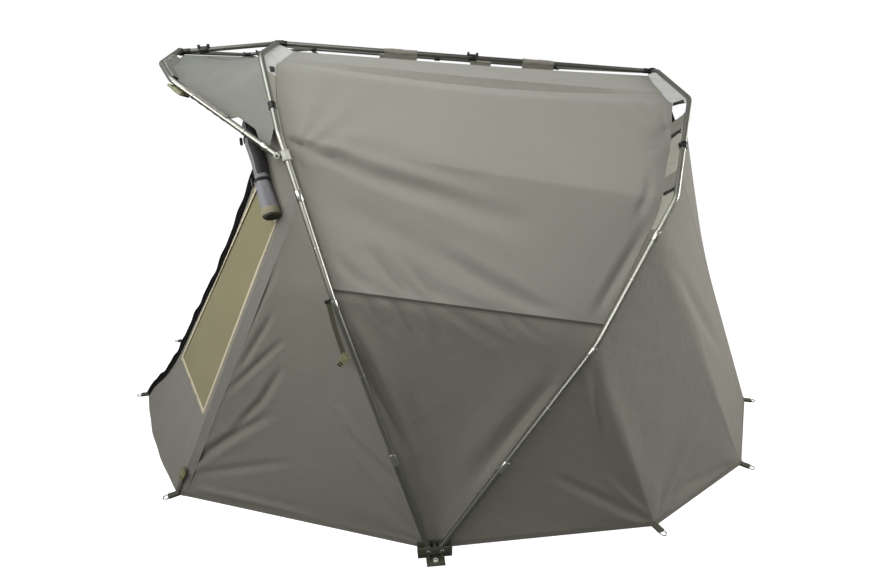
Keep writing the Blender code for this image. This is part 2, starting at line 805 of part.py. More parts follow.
def peak_arch(inset, low_out, run_steps, turn_steps):
    """A line over the whole hood rib, from one side to the other."""
    corners = peak_corners(inset)
    start = corners[0].lerp(corners[1], (low_out - corners[0].y) / (corners[1].y - corners[0].y))
    half = [start] + corners[1:]
    radii = [0] + [max(radius - inset, CUT_OVERRUN) for radius in (BEND_RADIUS, SHOULDER_RADIUS, TOP_RADIUS)]
    whole = [(point.x, point.y, 0) for point in half] + [(-point.x, point.y, 0) for point in half[::-1]]
    flat = rounded(whole, radii + radii[::-1], run_steps, turn_steps)
    return [peak_world(-point.x, point.y) for point in flat]


def make_peak_rib():
    """The hood rib, with an eye on each bracket's pin."""
    axis_x, axis_z = bracket_axis()
    half = bracket_half()
    rib = tube("peak_rib", peak_arch(0, 0, 1, 6), PEAK_RADIUS, "aluminium")
    eyes, cuts = [], []
    for _, side in SIDES:
        middle = side * half
        eyes.append(round_bar(
            "eye", PEAK_EYE_RADIUS, (axis_x, middle - PEAK_EYE_WIDTH / 2, axis_z),
            (axis_x, middle + PEAK_EYE_WIDTH / 2, axis_z), "aluminium",
        ))
        cuts.append(round_bar(
            "hole", PIN_RADIUS + CLEAR, (axis_x, middle - BRACKET_AHEAD, axis_z),
            (axis_x, middle + BRACKET_AHEAD, axis_z), "aluminium",
        ))
        for face in (-1, 1):
            centre = middle + face * (PEAK_EYE_WIDTH / 2 + BRACKET_AHEAD / 2)
            cuts.append(block(
                "face", (2 * PEAK_EYE_RADIUS + CUT_OVERRUN, BRACKET_AHEAD, 2 * PEAK_EYE_RADIUS + CUT_OVERRUN),
                (axis_x, centre, axis_z), "aluminium",
            ))
    smooth(combine(rib, eyes, cuts))


def bar_with_ring(name, ring_axis, far_end, half, rib_radius, hook_side, look):
    """A roof bar: a ring on one rib's top tube, the bar, and a hook over the other rib's top tube."""
    ring_axis, far_end = Vector((ring_axis.x, half, ring_axis.z)), Vector((far_end.x, half, far_end.z))
    seat = rib_radius + BAR_RADIUS + CLEAR
    flat = far_end - ring_axis
    turn = math.asin(seat / flat.length)
    raised = Matrix.Rotation(turn if flat.x < 0 else -turn, 3, "Y") @ flat
    along = raised.normalized()
    reach = math.sqrt(flat.length ** 2 - seat ** 2)
    end = ring_axis + along * (reach + rib_radius + BAR_OVERHANG)
    bar = round_bar(name, BAR_RADIUS, ring_axis, end, look)
    ring = round_bar(
        "ring", BAR_RING_RADIUS, ring_axis - Vector((0, BAR_RING_WIDTH / 2, 0)),
        ring_axis + Vector((0, BAR_RING_WIDTH / 2, 0)), look,
    )
    bore = round_bar(
        "bore", rib_radius + CLEAR, ring_axis - Vector((0, BAR_RING_WIDTH, 0)),
        ring_axis + Vector((0, BAR_RING_WIDTH, 0)), look,
    )
    hook = block(
        "hook", (HOOK_THICK, HOOK_WIDTH, HOOK_DROP + BAR_RADIUS),
        (
            far_end.x + hook_side * (rib_radius + 2 * CLEAR + HOOK_THICK / 2), half,
            far_end.z + rib_radius + (BAR_RADIUS - HOOK_DROP) / 2,
        ), look,
    )
    smooth(combine(bar, (ring, hook), (bore,)))
    return ring_axis, end


def bar_clip(name, start, end, share):
    """A transport clip on a bar, with two ears that stand up."""
    along = (end - start).normalized()
    centre = start.lerp(end, share)
    first, last = centre - along * BAR_CLIP_LENGTH / 2, centre + along * BAR_CLIP_LENGTH / 2
    clip = round_bar(name, BAR_CLIP_RADIUS, first, last, "black_plastic")
    bore = round_bar("bore", BAR_RADIUS + CLEAR, first - along * CUT_OVERRUN, last + along * CUT_OVERRUN, "zip")
    ears = [
        block(
            "ear", (BAR_CLIP_EAR_THICK, BAR_CLIP_RADIUS * 1.6, BAR_CLIP_EAR),
            centre + along * way * (BAR_CLIP_LENGTH - BAR_CLIP_EAR_THICK) / 2
            + Vector((0, 0, BAR_RADIUS + BAR_CLIP_EAR / 2)), "black_plastic",
            turn=Matrix.Rotation(way * math.radians(14), 4, "Y"),
        )
        for way in (-1, 1)
    ]
    smooth(combine(clip, ears, (bore,)))


def make_bars():
    """Ridge bars from the rear rib to the front rib, and hood bars from the hood rib to the front rib."""
    front_top = rib_world(FRONT, NEAR, 0, FRONT_TOP_UP)
    rear_top = rib_world(REAR, NEAR, 0, REAR_TOP_UP)
    hood_top = peak_world(0, PEAK_TOP_OUT)
    for name, side in SIDES:
        start, end = bar_with_ring(
            "ridge_bar_" + name, rear_top, front_top, side * RIDGE_BAR_HALF, ARCH_RADIUS, -1, "aluminium"
        )
        bar_clip("ridge_clip_" + name, start, end, RIDGE_CLIP_SHARE)
        along = (end - start).normalized()
        for word, share in zip(("rear", "front"), SLEEVE_SHARES):
            centre = start.lerp(end, share)
            reach = along * SLEEVE_LENGTH / 2
            sleeve = round_bar(
                "sleeve_" + word + "_" + name, SLEEVE_RADIUS, centre - reach, centre + reach, "wall_fabric"
            )
            bore = round_bar(
                "bore", BAR_RADIUS + CLEAR, centre - reach * 2, centre + reach * 2, "wall_fabric"
            )
            smooth(combine(sleeve, (), (bore,)))
        start, end = bar_with_ring(
            "peak_bar_" + name, hood_top, front_top, side * PEAK_BAR_HALF, ARCH_RADIUS, 1, "aluminium"
        )
        bar_clip("peak_clip_" + name, start, end, PEAK_CLIP_SHARE)


def fold_line(side, steps):
    """The seam from the front corner up to the front rib."""
    profile = inset_profile(FRONT, FABRIC_INSET)
    top = profile_at(profile, FOLD_TOP_UP)
    high = rib_world(FRONT, side, top.x, top.y)
    low = mirrored(corner_points()["front"], side)
    stop = 1 - APEX_WIDTH / (high - low).length
    return straight(low, low.lerp(high, stop), steps)


def zip_line(side, steps):
    """The door's zip line, from the door corner up to the front rib."""
    profile = inset_profile(FRONT, FABRIC_INSET + PANEL_DROP)
    top = profile_at(profile, BRACKET_UP + ZIP_ABOVE_BRACKET)
    return straight(mirrored(corner_points()["door"], side), rib_world(FRONT, side, top.x, top.y), steps)


def make_roof():
    """The roof between the ribs, and the lower side panels that its seams join."""
    front = fabric_arch(FRONT, FRONT_SEAM_UP, 3)
    rear = fabric_arch(REAR, REAR_SEAM_UP, 3)
    cloth("canopy", (front, rear), (9,), "roof_fabric", (roof_sag,), (soft_folds,))
    for name, side in SIDES:
        front = fabric_line(FRONT, side, hem_up(FRONT), FRONT_SEAM_UP - EDGE_TRIM * 2, 5)
        rear = fabric_line(REAR, side, hem_up(REAR), REAR_SEAM_UP - EDGE_TRIM * 2, 5)
        cloth("lower_side_" + name, (front, rear), (8,), "wall_fabric", (LOWER_SAG,), (fan_folds(0, 7),))


def roof_sag(up):
    """The roof's sag: hollow on both sides, and nearly flat along the top."""
    side = abs(math.sin(2 * math.pi * up)) if abs(up - 0.5) > 0.25 else 0
    top = ROOF_SAG_SHARE * math.sin(math.pi * up)
    return CANOPY_SAG * max(side, top)


def soft_folds(up, across):
    """Shallow roof folds that run from rib to rib."""
    return 0.35 * FOLD_DEPTH * math.sin(9 * math.pi * up) * math.sin(math.pi * across) * math.sin(math.pi * up)


def front_lines(side, steps=10):
    """The lines of one half of the front: the front rib, the corner seam and the zip line."""
    rib = resample(fabric_line(FRONT, side, hem_up(FRONT), FOLD_TOP_UP - APEX_WIDTH, 6), steps)
    rib[0] = rib[0] - Vector((APEX_WIDTH / 8, 0, 0))
    return rib, fold_line(side, steps), zip_line(side, steps)


def make_front():
    """Each half of the front, with a mesh window seated in its opening."""
    for name, side in SIDES:
        rib, seam, opening = front_lines(side)
        panel = cloth(
            "front_panel_" + name, (rib, seam, opening), (7, 6), "wall_fabric",
            (FRONT_SAG, 0), (fan_folds(1, 9), None),
        )
        combine(panel, (), (window_prism(side, 0, FABRIC_THICK * 6),))
        pane = cloth("mesh_window_" + name, (seam, opening), (6,), "mesh", thick=MESH_THICK)
        boolean(pane, window_prism(side, 2 * CLEAR, FABRIC_THICK * 5), "INTERSECT")
        used = pane.modifiers["intersect"].object
        bake(pane)
        bpy.data.objects.remove(used, do_unlink=True)


def panel_spot(side, across, up):
    """A point of the front panel by its shares across and up."""
    seam, opening = fold_line(side, 1), zip_line(side, 1)
    return seam[0].lerp(seam[1], up).lerp(opening[0].lerp(opening[1], up), across)


def panel_outward(side):
    """The front panel's outward direction."""
    low, high = panel_spot(side, 0, 0), panel_spot(side, 0, 1)
    outward = (panel_spot(side, 1, 0) - low).cross(high - low).normalized()
    return outward if outward.dot(low - INSIDE_POINT) > 0 else -outward


def window_prism(side, shrink, reach):
    """A prism through the front panel with the window's outline, shrunk by a gap."""
    spots = [
        panel_spot(side, WINDOW_LOW_ACROSS_SHARES[0], WINDOW_LOW_UP_SHARES[0]),
        panel_spot(side, WINDOW_LOW_ACROSS_SHARES[1], WINDOW_LOW_UP_SHARES[1]),
        panel_spot(side, WINDOW_HIGH_ACROSS_SHARES[1], WINDOW_HIGH_UP_SHARES[1]),
        panel_spot(side, WINDOW_HIGH_ACROSS_SHARES[0], WINDOW_HIGH_UP_SHARES[0]),
    ]
    middle = sum(spots, Vector()) / len(spots)
    outward = panel_outward(side)
    shape = bmesh.new()
    rings = []
    for level in (-reach, reach):
        rings.append([
            shape.verts.new(spot + (middle - spot).normalized() * shrink + outward * level) for spot in spots
        ])
    shape.faces.new(rings[0])
    shape.faces.new(rings[1])
    for index in range(len(spots)):
        after = (index + 1) % len(spots)
        shape.faces.new((rings[0][index], rings[0][after], rings[1][after], rings[1][index]))
    bmesh.ops.recalc_face_normals(shape, faces=shape.faces[:])
    data = bpy.data.meshes.new("window")
    shape.to_mesh(data)
    shape.free()
    return place(data, "window", "mesh")


def make_rear():
    """The rear walls: two sides and the middle, from the rear rib down to the pegging points."""
    spots = corner_points()
    for name, side in SIDES:
        heights = (hem_up(REAR), REAR_KNEE_UP, REAR_QUARTER_UP, REAR_CORNER_UP)
        profile = inset_profile(REAR, FABRIC_INSET)
        points = [profile_at(profile, height) for height in heights]
        rib = [rib_world(REAR, side, point.x, point.y) for point in points]
        hub = rib[0] + Vector((APEX_WIDTH / 8, 0, 0))
        ground = [hub] + [mirrored(spots[word], side) for word in ("side", "quarter", "rear")]
        radii = (0, KNEE_RADIUS, KNEE_RADIUS, 0)
        rib_line = rounded(rib, radii, 3, 3)
        ground_line = rounded(ground, (0, 0, 0, 0), 3, 3)
        ground_line[0] = hub + Vector((APEX_WIDTH / 2, 0, 0))
        cloth(
            "rear_side_" + name, (rib_line, ground_line), (8,), "wall_fabric",
            (REAR_SAG / 3,), (fan_folds(1, 8),),
        )
    arch = resample(fabric_arch(REAR, REAR_CORNER_UP + EDGE_TRIM, 3), 18)
    low = mirrored(spots["rear"], NEAR) + Vector((0, EDGE_TRIM * 2, 0))
    ground = straight(low, mirrored(low, FAR), 18)
    cloth("rear_middle", (arch, ground), (8,), "wall_fabric", (REAR_SAG,), (soft_folds,))


def make_peak_canopy():
    """The hood's fabric, from the front rib out to the hood rib."""
    front = resample(fabric_arch(FRONT, HOOD_EDGE_UP, 3, FABRIC_INSET + HOOD_DROP), 26)
    hood = resample(peak_arch(FABRIC_INSET, APEX_WIDTH * 2, 3, 3), 26)
    shift = Vector((-EDGE_TRIM, 0, 0))
    cloth("peak_canopy", ([point + shift for point in front], hood), (6,), "roof_fabric", (PEAK_SAG,))


def strip(name, line, width, thick_way, thick, look):
    """A flat strip along a straight line, one face on the line."""
    start, end = line
    along = (end - start).normalized()
    turn = Matrix((along, thick_way.cross(along), thick_way)).transposed().to_4x4()
    centre = (start + end) / 2 + thick_way * thick / 2
    return block(name, ((end - start).length, width, thick), centre, look, turn=turn)


def make_zips():
    """The door's zip strips on the front panels' edges, and their sliders."""
    for name, side in SIDES:
        line = zip_line(side, 1)
        outward = panel_outward(side)
        along = (line[1] - line[0]).normalized()
        inward = outward.cross(along).normalized()
        if inward.dot(panel_spot(side, 0, 0) - line[0]) < 0:
            inward = -inward
        lift = outward * (FABRIC_THICK + CLEAR) + inward * (ZIP_WIDTH / 2)
        low = line[0].lerp(line[1], ZIP_LOW_SHARE) + lift
        high = line[0].lerp(line[1], ZIP_HIGH_SHARE) + lift
        strip("zip_" + name, (low, high), ZIP_WIDTH, outward, ZIP_THICK, "zip")
        seat = low + outward * (ZIP_THICK + CLEAR)
        strip(
            "zip_slider_" + name, (seat, seat + along * SLIDER_LENGTH), SLIDER_WIDTH,
            outward, SLIDER_THICK, "steel",
        )


def make_door_roll():
    """The door rolled up under the hood, with both ends hanging outside the front panels."""
    near = [Vector(point) for point in ROLL_LINE]
    whole = near + [mirrored(point, FAR) for point in near[-2::-1]]
    line = resample([point + Vector((HUB_X, 0, 0)) for point in whole], 44)
    tube("door_roll", line, ROLL_RADIUS, "wall_fabric")


def gusset(name, rim, fabric, look, facing=1):
    """A patch in a rib's plane that ties the fabric's edge to the rib's shoulder."""
    cloth(name, (rim, fabric), (1,), look, thick=GUSSET_THICK, facing=facing)


def make_gussets():
    """Shoulder gussets on the ribs and corner pockets on the hood rib."""
    for word, rib in (("front", FRONT), ("rear", REAR)):
        low = (FRONT_SHOULDER_UP if rib == FRONT else REAR_SHOULDER_UP) - SHOULDER_RADIUS
        high = (FRONT_TOP_UP if rib == FRONT else REAR_TOP_UP) - HOOK_DROP
        for name, side in SIDES:
            rim = fabric_line(rib, side, low, high - CUT_OVERRUN, 3, ARCH_RADIUS + 2 * CLEAR)
            edge = fabric_line(rib, side, low, high - FABRIC_INSET, 3, FABRIC_INSET - FABRIC_THICK - 4 * CLEAR)
            rim, edge = resample(rim, 8), resample(edge, 8)
            gusset("gusset_" + word + "_" + name, rim, edge, "gusset_fabric")
    for name, side in SIDES:
        rim = resample(peak_arch(PEAK_RADIUS + 2 * CLEAR, PEAK_ELBOW_OUT - BRACKET_AHEAD, 3, 3), 40)[:9]
        edge = resample(
                peak_arch(FABRIC_INSET, PEAK_ELBOW_OUT - BRACKET_AHEAD, 3, 3), 40
            )[:9]
        gusset(
            "peak_pocket_" + name, [mirrored(point, side) for point in rim],
            [mirrored(point, side) for point in edge], "gusset_fabric", -1,
        )


def make_tabs():
    """Pegging tabs with a steel ring at each corner of the hem."""
    spots = corner_points()
    outward_angles = {
        "front": math.radians(206), "door": math.radians(190), "side": math.radians(-73),
        "quarter": math.radians(-47), "rear": math.radians(-17),
    }
    for name, side in SIDES:
        for word, spot in spots.items():
            angle = outward_angles[word]
            way = Vector((math.cos(angle), math.sin(angle) * -side, 0))
            start = mirrored(spot, side) + way * (FABRIC_THICK * 1.3)
            start.z = 0
            end = start + way * TAB_LENGTH
            item = strip(
                "peg_tab_" + word + "_" + name, (start, end), TAB_WIDTH,
                Vector((0, 0, 1)), TAB_THICK, "webbing",
            )
            bpy.ops.mesh.primitive_torus_add(
                major_radius=RING_RADIUS - RING_WIRE, minor_radius=RING_WIRE,
                major_segments=16, minor_segments=6,
                location=end + Vector((0, 0, RING_WIRE)) + way * (RING_WIRE * 2),
            )
            ring = bpy.context.object
            combine(item, (ring,))


def make_buckles():
    """Webbing buckles under the hood rib's legs."""
    for name, side in SIDES:
        spot = peak_world(side * (PEAK_ELBOW_HALF + CLEAR), PEAK_ELBOW_OUT * 0.9)
        spot.y = side * (bracket_half() + (PEAK_ELBOW_HALF - bracket_half()) * 0.9)
        start = peak_world(side * bracket_half(), 0)
        along = (spot - start).normalized()
        out = Vector((-math.cos(PEAK_RISE), 0, math.sin(PEAK_RISE)))
        under = Vector((0, side, 0)).cross(out).normalized()
        if under.z > 0:
            under = -under
        reach = PEAK_RADIUS + CLEAR
        line = (spot + under * reach - along * BUCKLE_LENGTH / 2, spot + under * reach + along * BUCKLE_LENGTH / 2)
        item = strip("peak_buckle_" + name, line, BUCKLE_WIDTH, under, BUCKLE_THICK, "olive_plastic")
        slots = [
            strip(
                "slot",
                (
                    spot + under * (reach - CUT_OVERRUN) + along * (way * BUCKLE_LENGTH / 4 - BUCKLE_THICK / 3),
                    spot + under * (reach - CUT_OVERRUN) + along * (way * BUCKLE_LENGTH / 4 + BUCKLE_THICK / 3),
                ),
                BUCKLE_WIDTH * 0.7, under, BUCKLE_THICK + 2 * CUT_OVERRUN, "olive_plastic",
            )
            for way in (-1, 1)
        ]
        combine(item, (), slots)


make_hubs()
make_rib(FRONT, "front")
make_rib(REAR, "rear")
make_brackets()
make_peak_rib()
make_bars()
make_roof()
make_front()
make_rear()
make_peak_canopy()
make_zips()
make_door_roll()
make_gussets()
make_tabs()
make_buckles()
print("HUB_X", HUB_X)
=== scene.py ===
"""Bivvy tent: the finished look of the frame, cloth shell, windows, zips and fittings."""
import json
import math

import bmesh
import bpy
import numpy as np
from mathutils import Matrix, Vector

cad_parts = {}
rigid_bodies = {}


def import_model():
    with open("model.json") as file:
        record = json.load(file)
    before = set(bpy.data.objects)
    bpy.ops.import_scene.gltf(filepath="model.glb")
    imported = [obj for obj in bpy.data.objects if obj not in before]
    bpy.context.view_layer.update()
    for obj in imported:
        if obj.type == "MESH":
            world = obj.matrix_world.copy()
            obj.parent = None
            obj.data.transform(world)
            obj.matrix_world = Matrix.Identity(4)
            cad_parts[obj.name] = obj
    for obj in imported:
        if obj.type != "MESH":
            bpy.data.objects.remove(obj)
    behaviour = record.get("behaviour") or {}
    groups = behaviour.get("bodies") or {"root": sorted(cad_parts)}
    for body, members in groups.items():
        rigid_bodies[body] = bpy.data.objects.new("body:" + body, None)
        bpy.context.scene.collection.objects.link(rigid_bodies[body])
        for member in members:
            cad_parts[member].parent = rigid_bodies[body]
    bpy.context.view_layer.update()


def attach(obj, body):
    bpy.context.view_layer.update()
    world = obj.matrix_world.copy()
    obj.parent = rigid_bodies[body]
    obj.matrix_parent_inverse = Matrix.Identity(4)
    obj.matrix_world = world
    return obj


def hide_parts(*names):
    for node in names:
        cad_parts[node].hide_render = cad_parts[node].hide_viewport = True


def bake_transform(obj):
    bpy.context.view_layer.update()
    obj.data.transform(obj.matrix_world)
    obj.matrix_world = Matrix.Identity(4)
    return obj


bl_info = {
    "name": "Bivvy Tent",
    "version": (1, 0, 0),
    "blender": (4, 5, 0),
    "location": "View3D > Sidebar > Bivvy",
    "description": "Builds the frame, cloth and fittings of a bivvy tent",
    "category": "Add Mesh",
}

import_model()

NEAR, FAR = -1, 1
SIDES = (("near", NEAR), ("far", FAR))
FRONT, REAR = -1, 1
HUB_X = -0.14
PIN_UP = 0.028
PIN_HALF_GAP = 0.022
LEAN = {FRONT: math.radians(16.0), REAR: math.radians(31.6)}
HUB_HALF_SPAN = 1.372
CORNERS = {
    FRONT: ((1.372, 0), (1.338, 0.903), (1.200, 1.345), (1.030, 1.540), (0.630, 1.580)),
    REAR: ((1.372, 0), (1.385, 0.830), (1.255, 1.297), (0.968, 1.588), (0.630, 1.677)),
}
CORNER_RADII = (0, 0.260, 0.060, 0.090, 0.060)
TUBE_RADIUS = 0.0080
LEG_RADIUS = 0.0095
LEG_LENGTH = 0.345
SEAM_UP = {FRONT: 0.925, REAR: 0.894}
TOP_UP = {FRONT: 1.580, REAR: 1.677}
CLIP_UP = {FRONT: 1.422, REAR: 1.457}
FABRIC_INSET = 0.0212
HEM_UP = 0.0020
EDGE_TRIM = 0.00035
INSIDE = np.array((0, 0, 0.45))
FOLD_TOP_UP = 1.213
ZIP_TOP_UP = 1.398
REAR_QUARTER_UP = 1.218
REAR_CORNER_UP = 1.403
HOOD_EDGE_UP = 1.378
BRACKET_UP = 1.285
BRACKET_AHEAD = 0.022
PEAK_RISE = math.radians(32.8)
PEAK_CORNERS = ((1.068, 0.336), (0.935, 0.410), (0.580, 0.477))
RIDGE_BAR_HALF = 0.585
PEAK_BAR_HALF = 0.545
PEGS = {
    "front": (-0.920, -1.000), "door": (-1.270, -0.280), "side": (0.770, -1.335),
    "quarter": (1.260, -1.060), "rear": (1.550, -0.630),
}
PEG_ANGLES = {"front": 206, "door": 190, "side": -73, "quarter": -47, "rear": -17}
ROLL_LINE = (
    (-0.4307, -1.2095, 1.0986), (-0.4407, -1.1865, 1.1306), (-0.4495, -1.1675, 1.1575),
    (-0.4590, -1.1427, 1.1967), (-0.4691, -1.1202, 1.2371), (-0.4840, -1.0941, 1.2756),
    (-0.4949, -1.0424, 1.3173), (-0.496, -0.940, 1.360), (-0.500, -0.800, 1.402),
    (-0.500, -0.600, 1.438), (-0.500, -0.300, 1.455), (-0.500, 0, 1.459),
)
JOIN_GAP = 0.014
FERRULE_RADIUS = 0.0096
BAR_RADIUS = 0.0075
BAR_SEAT = 0.0030
ROLL_RADIUS = 0.0225
SEAM_WIDTH = 0.0062
HEM_WIDTH = 0.020
HEM_STITCH_IN = 0.0175
CORNER_WIDTH = 0.030
BINDING_WIDTH = 0.0150
GROUND_CLEAR = 0.0002
ROOF_REACH = -0.50
SIDE_REACH = -0.36
FRONT_REACH = 0.86
REAR_REACH = 0.63
RIBS = (("front", FRONT), ("rear", REAR))
PEAK_RADII = (0.060, 0.090, 0.060)
HEM_BOW = 0.026
BOW_UP_SHARES = (0, 0.075, 0.165, 0.257, 0.35, 0.44, 0.53, 0.625, 0.76, 0.87, 1)
BOW_SHARES = (0, 0.004, 0.12, 0.18, 0.215, 0.215, 0.235, 0.262, 0.235, 0.15, 0.05)
WINDOW_SHARES = ((0.05, 0.31), (0.71, 0.31), (0.70, 0.90), (0.06, 0.90))


# Properties
def colour_setting(name, description, default):
    """A colour of the panel."""
    return bpy.props.FloatVectorProperty(
        name=name, description=description, subtype="COLOR", size=3, default=default
    )


class BivvyColours(bpy.types.PropertyGroup):
    """Colours of the cloth and frame."""

    roof: colour_setting("Roof cloth", "Colour of the roof and hood cloth", (0.272, 0.268, 0.236))
    # The walls are the roof's fabric: this colour is set darker and browner than the roof as painted shade on
    # the walls.
    wall: colour_setting("Wall cloth", "Colour of the wall cloth", (0.200, 0.191, 0.163))
    mesh: colour_setting("Window mesh", "Colour of the window mesh", (0.228, 0.208, 0.112))
    binding: colour_setting("Binding", "Colour of the window binding", (0.60, 0.53, 0.39))
    tube: colour_setting("Tube", "Colour of the frame tubes", (0.36, 0.36, 0.32))
    buckle: colour_setting("Buckle", "Colour of the buckles", (0.215, 0.215, 0.115))


def length_setting(name, description, default):
    """A small length of the panel."""
    return bpy.props.FloatProperty(
        name=name, description=description, default=default, unit="LENGTH", precision=4
    )


class BivvySizes(bpy.types.PropertyGroup):
    """Sizes of small cloth work."""

    cloth: length_setting("Cloth", "Thickness of the shell cloth", 0.0016)
    wrinkle: bpy.props.FloatProperty(
        name="Wrinkles", description="Strength of folds and wrinkles", default=1.0, min=0, max=2
    )
    stitch: length_setting("Stitch", "Length of one stitch", 0.0075)
    tooth: length_setting("Zip tooth", "Spacing of the zip teeth", 0.0060)


def colours():
    """The colour settings."""
    return bpy.context.scene.bivvy_colours


def sizes():
    """The size settings."""
    return bpy.context.scene.bivvy_sizes


# Materials
def new_material(name, color, roughness, metallic=0.0, **sockets):
    """A Principled material, with its node tree and its shader."""
    made = bpy.data.materials.new(name)
    made.use_nodes = True
    shader = made.node_tree.nodes["Principled BSDF"]
    shader.inputs["Base Color"].default_value = (*color, 1)
    shader.inputs["Roughness"].default_value = roughness
    shader.inputs["Metallic"].default_value = metallic
    for key, value in sockets.items():
        shader.inputs[key.replace("_", " ")].default_value = value
    return made, made.node_tree, shader


def texture(tree, kind, **values):
    """A texture node that reads object coordinates."""
    node = tree.nodes.new(kind)
    coordinates = tree.nodes.new("ShaderNodeTexCoord")
    tree.links.new(coordinates.outputs["Object"], node.inputs["Vector"])
    for key, value in values.items():
        if key in node.inputs:
            node.inputs[key].default_value = value
        else:
            setattr(node, key, value)
    return node


def bump(tree, shader, height, strength, distance, chained=None):
    """A bump from a height socket, on top of another bump where one is given."""
    node = tree.nodes.new("ShaderNodeBump")
    node.inputs["Strength"].default_value = strength
    node.inputs["Distance"].default_value = distance
    tree.links.new(height, node.inputs["Height"])
    if chained:
        tree.links.new(chained.outputs["Normal"], node.inputs["Normal"])
    tree.links.new(node.outputs["Normal"], shader.inputs["Normal"])
    return node


def toned(color, *factors):
    """A colour made lighter or darker by one factor, or by one for each channel."""
    return [min(1, value * factor) for value, factor in zip(color, factors * 3)]


def tinted(tree, shader, color, spread, factor):
    """Base colour that drifts between a darker and a lighter tone."""
    mix = tree.nodes.new("ShaderNodeMix")
    mix.data_type = "RGBA"
    mix.inputs[6].default_value = (*toned(color, 1 - spread), 1)
    mix.inputs[7].default_value = (*toned(color, 1 + spread), 1)
    tree.links.new(factor, mix.inputs[0])
    tree.links.new(mix.outputs[2], shader.inputs["Base Color"])


def cloth_material(name, color, spread=0.06, roughness=0.78, crumple=0.25):
    """Coated woven cloth: a drifting tone, soft crumples and a fine weave."""
    made, tree, shader = new_material(name, color, roughness, Sheen_Weight=0.12, Specular_IOR_Level=0.25)
    drift = texture(tree, "ShaderNodeTexNoise", Scale=3.2, Detail=3.0, Roughness=0.6)
    tinted(tree, shader, color, spread, drift.outputs["Fac"])
    soft = texture(tree, "ShaderNodeTexNoise", Scale=11.0, Detail=5.0, Roughness=0.62)
    first = bump(tree, shader, soft.outputs["Fac"], crumple, 0.02)
    fine = texture(tree, "ShaderNodeTexNoise", Scale=900, Detail=1.0)
    bump(tree, shader, fine.outputs["Fac"], 0.12, 0.0006, first)
    return made


def metal_material(name, color, roughness, metallic=0.9, spread=0.10):
    """Anodised tube with faint scuffs."""
    made, tree, shader = new_material(name, color, roughness, metallic)
    scuff = texture(tree, "ShaderNodeTexNoise", Scale=38.0, Detail=6.0, Roughness=0.7)
    tinted(tree, shader, color, spread, scuff.outputs["Fac"])
    bump(tree, shader, scuff.outputs["Fac"], 0.05, 0.0008)
    return made


def plastic_material(name, color, roughness=0.45):
    """Moulded plastic with a fine grain."""
    made, tree, shader = new_material(name, color, roughness, Specular_IOR_Level=0.45)
    grain = texture(tree, "ShaderNodeTexNoise", Scale=650.0, Detail=2.0)
    bump(tree, shader, grain.outputs["Fac"], 0.15, 0.0004)
    return made


def webbing_material(name, color, sheen=0.15):
    """Woven webbing with close ribs."""
    gloss = 1.6 * sheen + 0.1
    made, tree, shader = new_material(name, color, 0.82, Sheen_Weight=sheen, Specular_IOR_Level=gloss)
    wave = texture(tree, "ShaderNodeTexWave", Scale=420, Distortion=1.5, Detail=1.0)
    tinted(tree, shader, color, 0.12, wave.outputs["Fac"])
    bump(tree, shader, wave.outputs["Fac"], 0.3, 0.0006)
    return made


def net_material(name, color):
    """Fine window mesh: a crossed net over a soft tone."""
    made, tree, shader = new_material(name, color, 0.85, Sheen_Weight=0.1)
    drift = texture(tree, "ShaderNodeTexNoise", Scale=5.0, Detail=2.0)
    tinted(tree, shader, color, 0.07, drift.outputs["Fac"])
    net = texture(tree, "ShaderNodeTexVoronoi", Scale=700.0)
    bump(tree, shader, net.outputs["Distance"], 0.5, 0.0006)
    return made


LOOKS = {}


